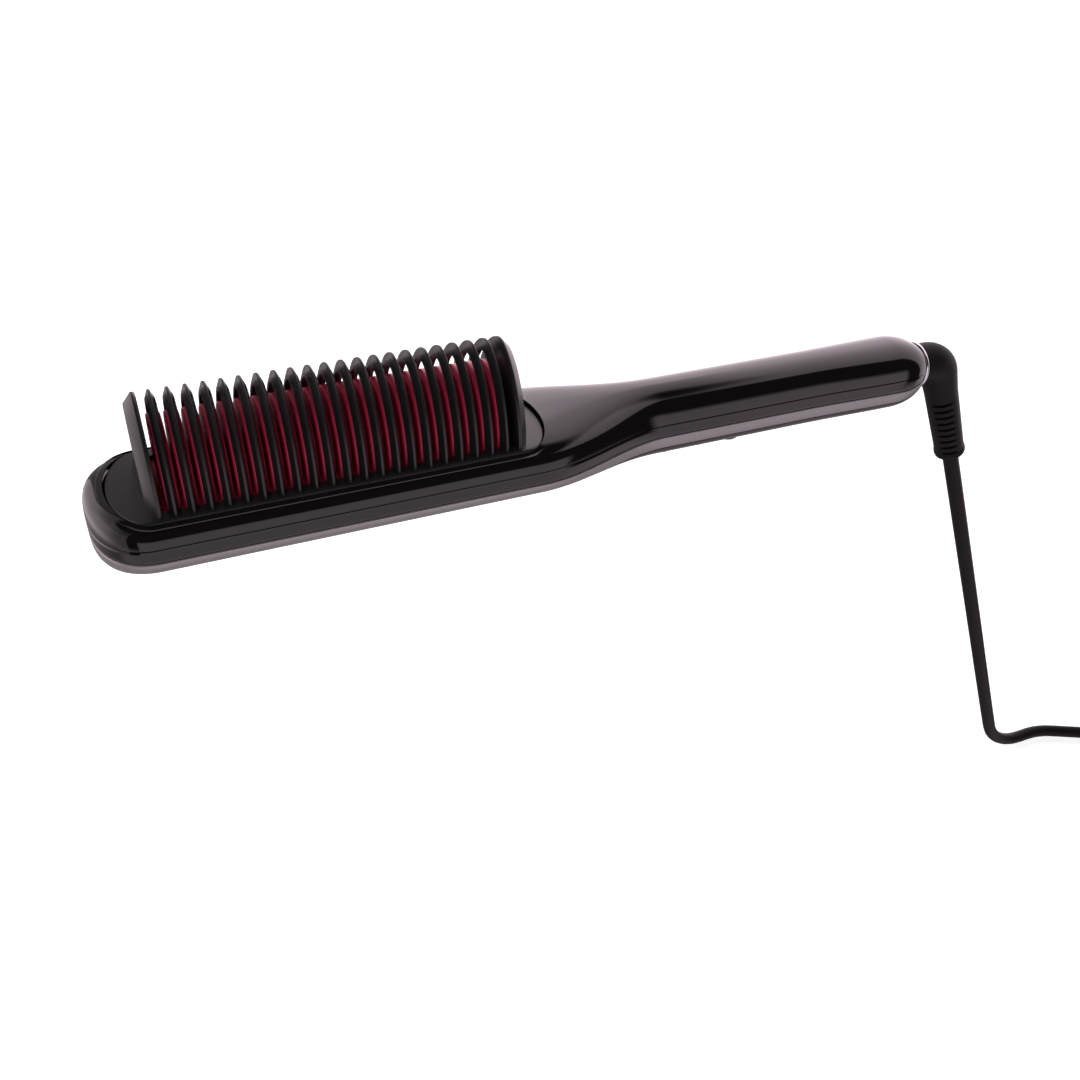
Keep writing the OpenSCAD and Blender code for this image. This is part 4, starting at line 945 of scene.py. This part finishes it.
def spread(line, count):
    """Count points along a line, evenly by length."""
    reach = np.concatenate([[0], np.cumsum(np.linalg.norm(np.diff(line, axis=0), axis=1))])
    at = np.linspace(0, reach[-1], count)
    return np.stack([np.interp(at, reach, line[:, k]) for k in range(2)], axis=1)


gap = 0.2
open_y, open_r = base_w / 2 + gap, base_round + gap
corner_x = base_l / 2 - base_round
join_x = -84.0
cross_n, nose_n, side_n, flank_n = 81, 70, 90, 24

t = np.linspace(0, np.pi / 2, 40)
quarter = np.stack([comb_x - corner_x - open_r * np.cos(t), open_y * np.sin(t)], axis=1)
inner_nose = spread(quarter, nose_n)
side_x = np.linspace(comb_x - corner_x, comb_x + corner_x, side_n)
inner_side = np.stack([side_x, np.full(side_n, open_y)], axis=1)
far_half = quarter[::-1] * [-1, 1] + [2 * comb_x, 0]
inner_far = spread(np.concatenate([far_half, far_half[::-1][1:] * [1, -1]]), 2 * flank_n + cross_n - 2)

tip_start = 0.0302
nose_line = tip_x + nose_l * np.linspace(tip_start, np.sqrt((comb_x - corner_x - tip_x) / nose_l), 400) ** 2
outer_nose = np.stack([nose_line, seam_y(nose_line)], axis=1)
outer_nose[0, 1] = 0
outer_nose = spread(outer_nose, nose_n)
outer_nose[:, 1] = np.where(np.arange(nose_n) == 0, 0, seam_y(outer_nose[:, 0]))
outer_side = np.stack([side_x, seam_y(side_x)], axis=1)
flank_x = np.linspace(comb_x + corner_x, join_x, flank_n)
outer_flank = np.stack([flank_x, seam_y(flank_x)], axis=1)


def across(x, count):
    """Points over the cover at x from seam to seam, even in the superellipse's own angle."""
    x = np.asarray(x, float)[..., None]
    n = round_up(x)
    low = np.arcsin(np.clip((widest_drop + seam_gap / 2) / rise(x), 0, 1) ** (n / 2))
    phi = low + (np.pi - 2 * low) * np.linspace(0, 1, count)
    c = np.cos(phi)
    y = half_width(x) * np.sign(c) * np.abs(c) ** (2 / n)
    z = mid_z + rise(x) * np.clip(np.sin(phi), 0, 1) ** (2 / n)
    return np.stack(np.broadcast_arrays(x, y, z), axis=-1)


cross_row = across(np.array([join_x]), cross_n)[0]
outer_far = np.concatenate([outer_flank[:-1], cross_row[:, :2], outer_flank[::-1][1:] * [1, -1]])
inner_half = np.concatenate([inner_nose[:-1], inner_side[:-1]])
outer_half = np.concatenate([outer_nose[:-1], outer_side[:-1]])
inner_loop = np.concatenate([inner_half, inner_far, inner_half[::-1][:-1] * [1, -1]])
outer_loop = np.concatenate([outer_half, outer_far, outer_half[::-1][:-1] * [1, -1]])

head_rows = []
for v in np.linspace(0, 1, 26):
    plan = outer_loop + (inner_loop - outer_loop) * v ** 3
    head_rows.append(np.concatenate([plan, cover_top(plan[:, 0], plan[:, 1])[:, None]], axis=1))
head_rows[0][:, 2] = np.where(np.abs(outer_loop[:, 0] - join_x) < 1e-9, head_rows[0][:, 2], seam_gap / 2)
lip = 0.45
for a in np.linspace(0.25, 1, 4) * np.pi / 2:
    row = head_rows[25].copy()
    row[:, 2] -= lip * (1 - np.cos(a))
    head_rows.append(row)
head_grid = np.stack(head_rows)
handle_x = np.concatenate([np.linspace(join_x, end_x - end_round_l, 70, endpoint=False),
                           np.linspace(end_x - end_round_l, end_x, 30)])
handle_grid = across(handle_x, cross_n)
handle_grid = np.concatenate([handle_grid, end_wall(handle_grid[-1], end_hole_r, end_x)])

upper = mesh_piece("upper_shell", [grid(head_grid, around=True), grid(handle_grid)], "casing", abs_gloss,
                   ["upper_cover"], smooth=40)
solid = upper.modifiers.new("wall", "SOLIDIFY")
solid.thickness = (casing_wall - 0.3) * MM
solid.offset = -1
apply_all(upper)
upper.data.set_sharp_from_angle(angle=np.radians(40))

# ---- Screws ----
# Zinc-plated steel screws, sunk in the underside: four under the head, two under the grip.

zinc = plain_material("zinc_plated_steel", "#85888c", "#9ea1a5", 800.0, (0.28, 0.42), metallic=1.0)
dress("guard_screws", zinc)
dress("case_screws", zinc)

# ---- Board, display and leads ----
# Inside the grip: the board with its switches and parts, the display behind its smoked window, and the leads.

dress("control_board", plain_material("solder_mask_green", "#1a4d2e", "#23623d", 400.0, (0.3, 0.45)))
dress("tact_switches", plain_material("black_nylon_switch", "#26262a", "#313135", 600.0, (0.45, 0.6)))
dress("board_parts", plain_material("blue_epoxy_case", "#2d4c6e", "#3a5f86", 500.0, (0.35, 0.5)))
dress("display_module", plain_material("display_glass_grey", "#202326", "#2b2f33", 300.0, (0.12, 0.2)))
dress("heater_leads", plain_material("red_glass_sleeve", "#a02a24", "#bd3a30", 1500.0, (0.6, 0.75)))
dress("mains_leads", plain_material("blue_pvc_lead", "#3f70a0", "#5086bb", 600.0, (0.4, 0.5)))

window_t, window_z = 1.8, floor_z(window_x) + 0.7
window_loop = round_loop(window_l - 0.2, window_w - 0.2, 1.9, 9)
window_rows = [(1 - 0.035, window_z), (1, window_z + 0.3), (1, window_z + window_t)]
window_stack = layers([(window_loop * s + [window_x, 0], z) for s, z in window_rows])
smoked = plain_material("smoked_acrylic", "#0d0e10", "#141619", 80.0, (0.04, 0.07), bump_mm=0.01)
mesh_piece("smoked_window", [grid(window_stack, around=True, caps=True)], "casing", smoked,
           ["display_window"])

# ---- Buttons ----
# Three push buttons in soft-touch ABS with dished tops, which point down: power, then plus and minus with a
# raised sign each. A flange under the cover keeps each one in.

soft_abs = plain_material("black_abs_soft_touch", "#201f21", "#2b2a2c", 900.0, (0.42, 0.55))
button_proud = 0.8
flange_t, flange_reach, stem_r = 0.8, 1.0, 1.5
flange_z = -grip_drop + casing_wall + 0.4
stem_top = flange_z + flange_t + 0.6


def button(bx, d):
    """Turned button: dished face, rounded edge, skirt, flange and stem."""
    low = floor_z(bx) - button_proud
    r = d / 2
    wide = r + flange_reach
    profile = [(0.01, low + 0.35), (r * 0.35, low + 0.3), (r * 0.7, low + 0.12), (r - 0.7, low),
               (r - 0.3, low + 0.08), (r - 0.08, low + 0.3), (r, low + 0.6), (r, flange_z),
               (wide, flange_z), (wide, flange_z + flange_t), (stem_r, flange_z + flange_t),
               (stem_r, stem_top), (0.01, stem_top)]
    return grid(lathe(profile, (bx, 0)), around=True, caps=True)


def sign_bar(bx, turn):
    """Raised bar of a sign on the dish, turned by that angle."""
    length, width = 3.2, 0.55
    low = floor_z(bx) - button_proud
    c, s = np.cos(turn), np.sin(turn)
    loop = round_loop(length, width, width / 2 - 0.01, 6) @ np.array([[c, s], [-s, c]]) + [bx, 0]
    return slab(loop, low + 0.05, low + 0.6)


for node, (bx, d) in zip(("power_button", "plus_button", "minus_button"), button_places):
    parts = [button(bx, d)]
    if node != "power_button":
        parts.append(sign_bar(bx, 0))
    if node == "plus_button":
        parts.append(sign_bar(bx, np.pi / 2))
    mesh_piece(node + "_cap", parts, node, soft_abs, [node], smooth=40)

# ---- Swivel ----
# Nylon bush in the end of the casing, a bright ring on the end face, and the core with its slip rings that
# turns in the bush. Springs on a moulded block bear on the rings.

dress("contact_block", plain_material("natural_nylon", "#cfcbbf", "#ded9ce", 300.0, (0.45, 0.6)))
dress("swivel_bush", plain_material("natural_nylon_turned", "#cfcbbf", "#ded9ce", 300.0, (0.4, 0.55)))
dress("contact_springs", brass)
dress("slip_rings", brass)
dress("swivel_core", plain_material("black_nylon_core", "#1d1b1d", "#262426", 500.0, (0.4, 0.55)))


def ring_x(profile, steps=96):
    """Turned ring about the handle's axis: each (radius, x) of a closed profile goes round in a circle."""
    profile = np.asarray(profile, float)
    t = np.linspace(0, 2 * np.pi, steps, endpoint=False)
    r, x = profile[:, :1], profile[:, 1:]
    return np.stack(np.broadcast_arrays(x, r * np.sin(t), mid_z + r * np.cos(t)), axis=-1)


ring_t, ring_r, ring_hole_r = 1.4, 9.3, 5.3
ring_x0 = end_x + 0.1
ring_x1 = ring_x0 + ring_t
bright = plain_material("chrome_plated_ring", "#cfd0d3", "#dcdde0", 400.0, (0.08, 0.14), metallic=1.0,
                        bump_mm=0.01)
ring_profile = [(ring_hole_r, ring_x0), (ring_r - 0.35, ring_x0), (ring_r - 0.1, ring_x0 + 0.1),
                (ring_r, ring_x0 + 0.35), (ring_r, ring_x1 - 0.45), (ring_r - 0.15, ring_x1 - 0.15),
                (ring_r - 0.45, ring_x1), (ring_hole_r, ring_x1)]
mesh_piece("bright_ring", [grid(ring_x(ring_profile), around=True, along=True)], "casing", bright,
           ["end_ring"])

# ---- Elbow and strain relief ----
# Soft PVC moulded over the core and the cord: a smooth elbow, then a sleeve with nine slots on each side
# that let it flex, and a rounded collar where the cord leaves.

boot_x = ring_x1 + 0.2
elbow_x, elbow_bend = end_x + 13.0, 9.0
boot_out = np.array([98.2, -47.6])
boot_tilt = np.arctan2(boot_out[0] - elbow_x, mid_z - boot_out[1])
leg_l = np.hypot(boot_out[0] - elbow_x, boot_out[1] - mid_z)
sweep = np.pi / 2 - boot_tilt
reach = elbow_bend * np.tan(sweep / 2)
arc_x = elbow_x - reach
leg_way = np.array([np.sin(boot_tilt), -np.cos(boot_tilt)])
slot_count, slot_pitch, slot_w, slot_web, slot_turn = 9, 3.4, 1.5, 4.8, np.radians(34)
slot_at = leg_l - 4 - slot_pitch * np.arange(slot_count)


def boot_line(m):
    """Place and heading in X and Z at m along the boot: straight, a turn round the elbow, and straight."""
    first = arc_x - boot_x
    arc = elbow_bend * sweep
    a = np.clip((m - first) / elbow_bend, 0, sweep)
    on_leg = np.clip(m - first - arc, 0, None)
    x = boot_x + np.minimum(m, first) + elbow_bend * np.sin(a) + on_leg * leg_way[0]
    z = mid_z - elbow_bend * (1 - np.cos(a)) + on_leg * leg_way[1]
    return x, z, np.cos(a), -np.sin(a)


boot_l = (arc_x - boot_x) + elbow_bend * sweep + leg_l - reach
leg_start = boot_l - leg_l
even = np.linspace(0, boot_l, 130)
slot_shares = np.array([-1.25, -1.0, -0.97, -0.5, 0, 0.5, 0.97, 1.0, 1.25])
near_slots = (leg_start + slot_at[:, None] + slot_w / 2 * slot_shares).ravel()
ends = boot_l - np.array([0, 0.15, 0.45, 0.9, 2.2, 2.6, 3.0])
m = np.unique(np.round(np.concatenate([even, near_slots, ends]), 4))
elbow_r, relief_r = 7.9, 5.9
leg_at = leg_start + reach
body_r = np.interp(m, [0, 2, arc_x - boot_x + 2, leg_at + 2, leg_at + 10, boot_l - 3, boot_l],
                   [elbow_r, elbow_r, 7.8, 7.0, 6.45, relief_r, relief_r])
collar = 0.3 * np.clip((m - (boot_l - 2.9)) / 0.5, 0, 1)
tip = 0.9 - np.sqrt(np.clip(0.81 - np.clip(m - (boot_l - 0.9), 0, 0.9) ** 2, 0, 1))
body_r = body_r + collar - np.where(m > boot_l - 0.9, tip, 0)
start = np.clip(0.5 - m, 0, 0.5)
body_r = body_r - (0.5 - np.sqrt(np.clip(0.25 - start ** 2, 0, 1)))
px, pz, hx, hz = boot_line(m)
t = np.linspace(0, 2 * np.pi, 120, endpoint=False)
side_y = body_r[:, None] * np.sin(t)
up = body_r[:, None] * np.cos(t)
in_slot = (np.abs(m[:, None] - leg_start - slot_at) <= slot_w / 2 * 0.98).any(axis=1)
across_web = side_y * np.cos(slot_turn) + up * np.sin(slot_turn)
over = np.where(in_slot[:, None], across_web - np.clip(across_web, -slot_web, slot_web), 0)
side_y = side_y - over * np.cos(slot_turn)
up = up - over * np.sin(slot_turn)
boot_points = np.stack([px[:, None] - hz[:, None] * up, side_y, pz[:, None] + hx[:, None] * up], axis=-1)

soft_pvc = plain_material("black_pvc_moulded", "#0d0c0d", "#121012", 700.0, (0.42, 0.55), bump_mm=0.04,
                          sockets={"Specular IOR Level": 0.1})
mesh_piece("elbow_and_relief", [grid(boot_points, around=True, caps=True)], "swivel", soft_pvc,
           ["cord_boot"], smooth=42)

low, high = cad_box
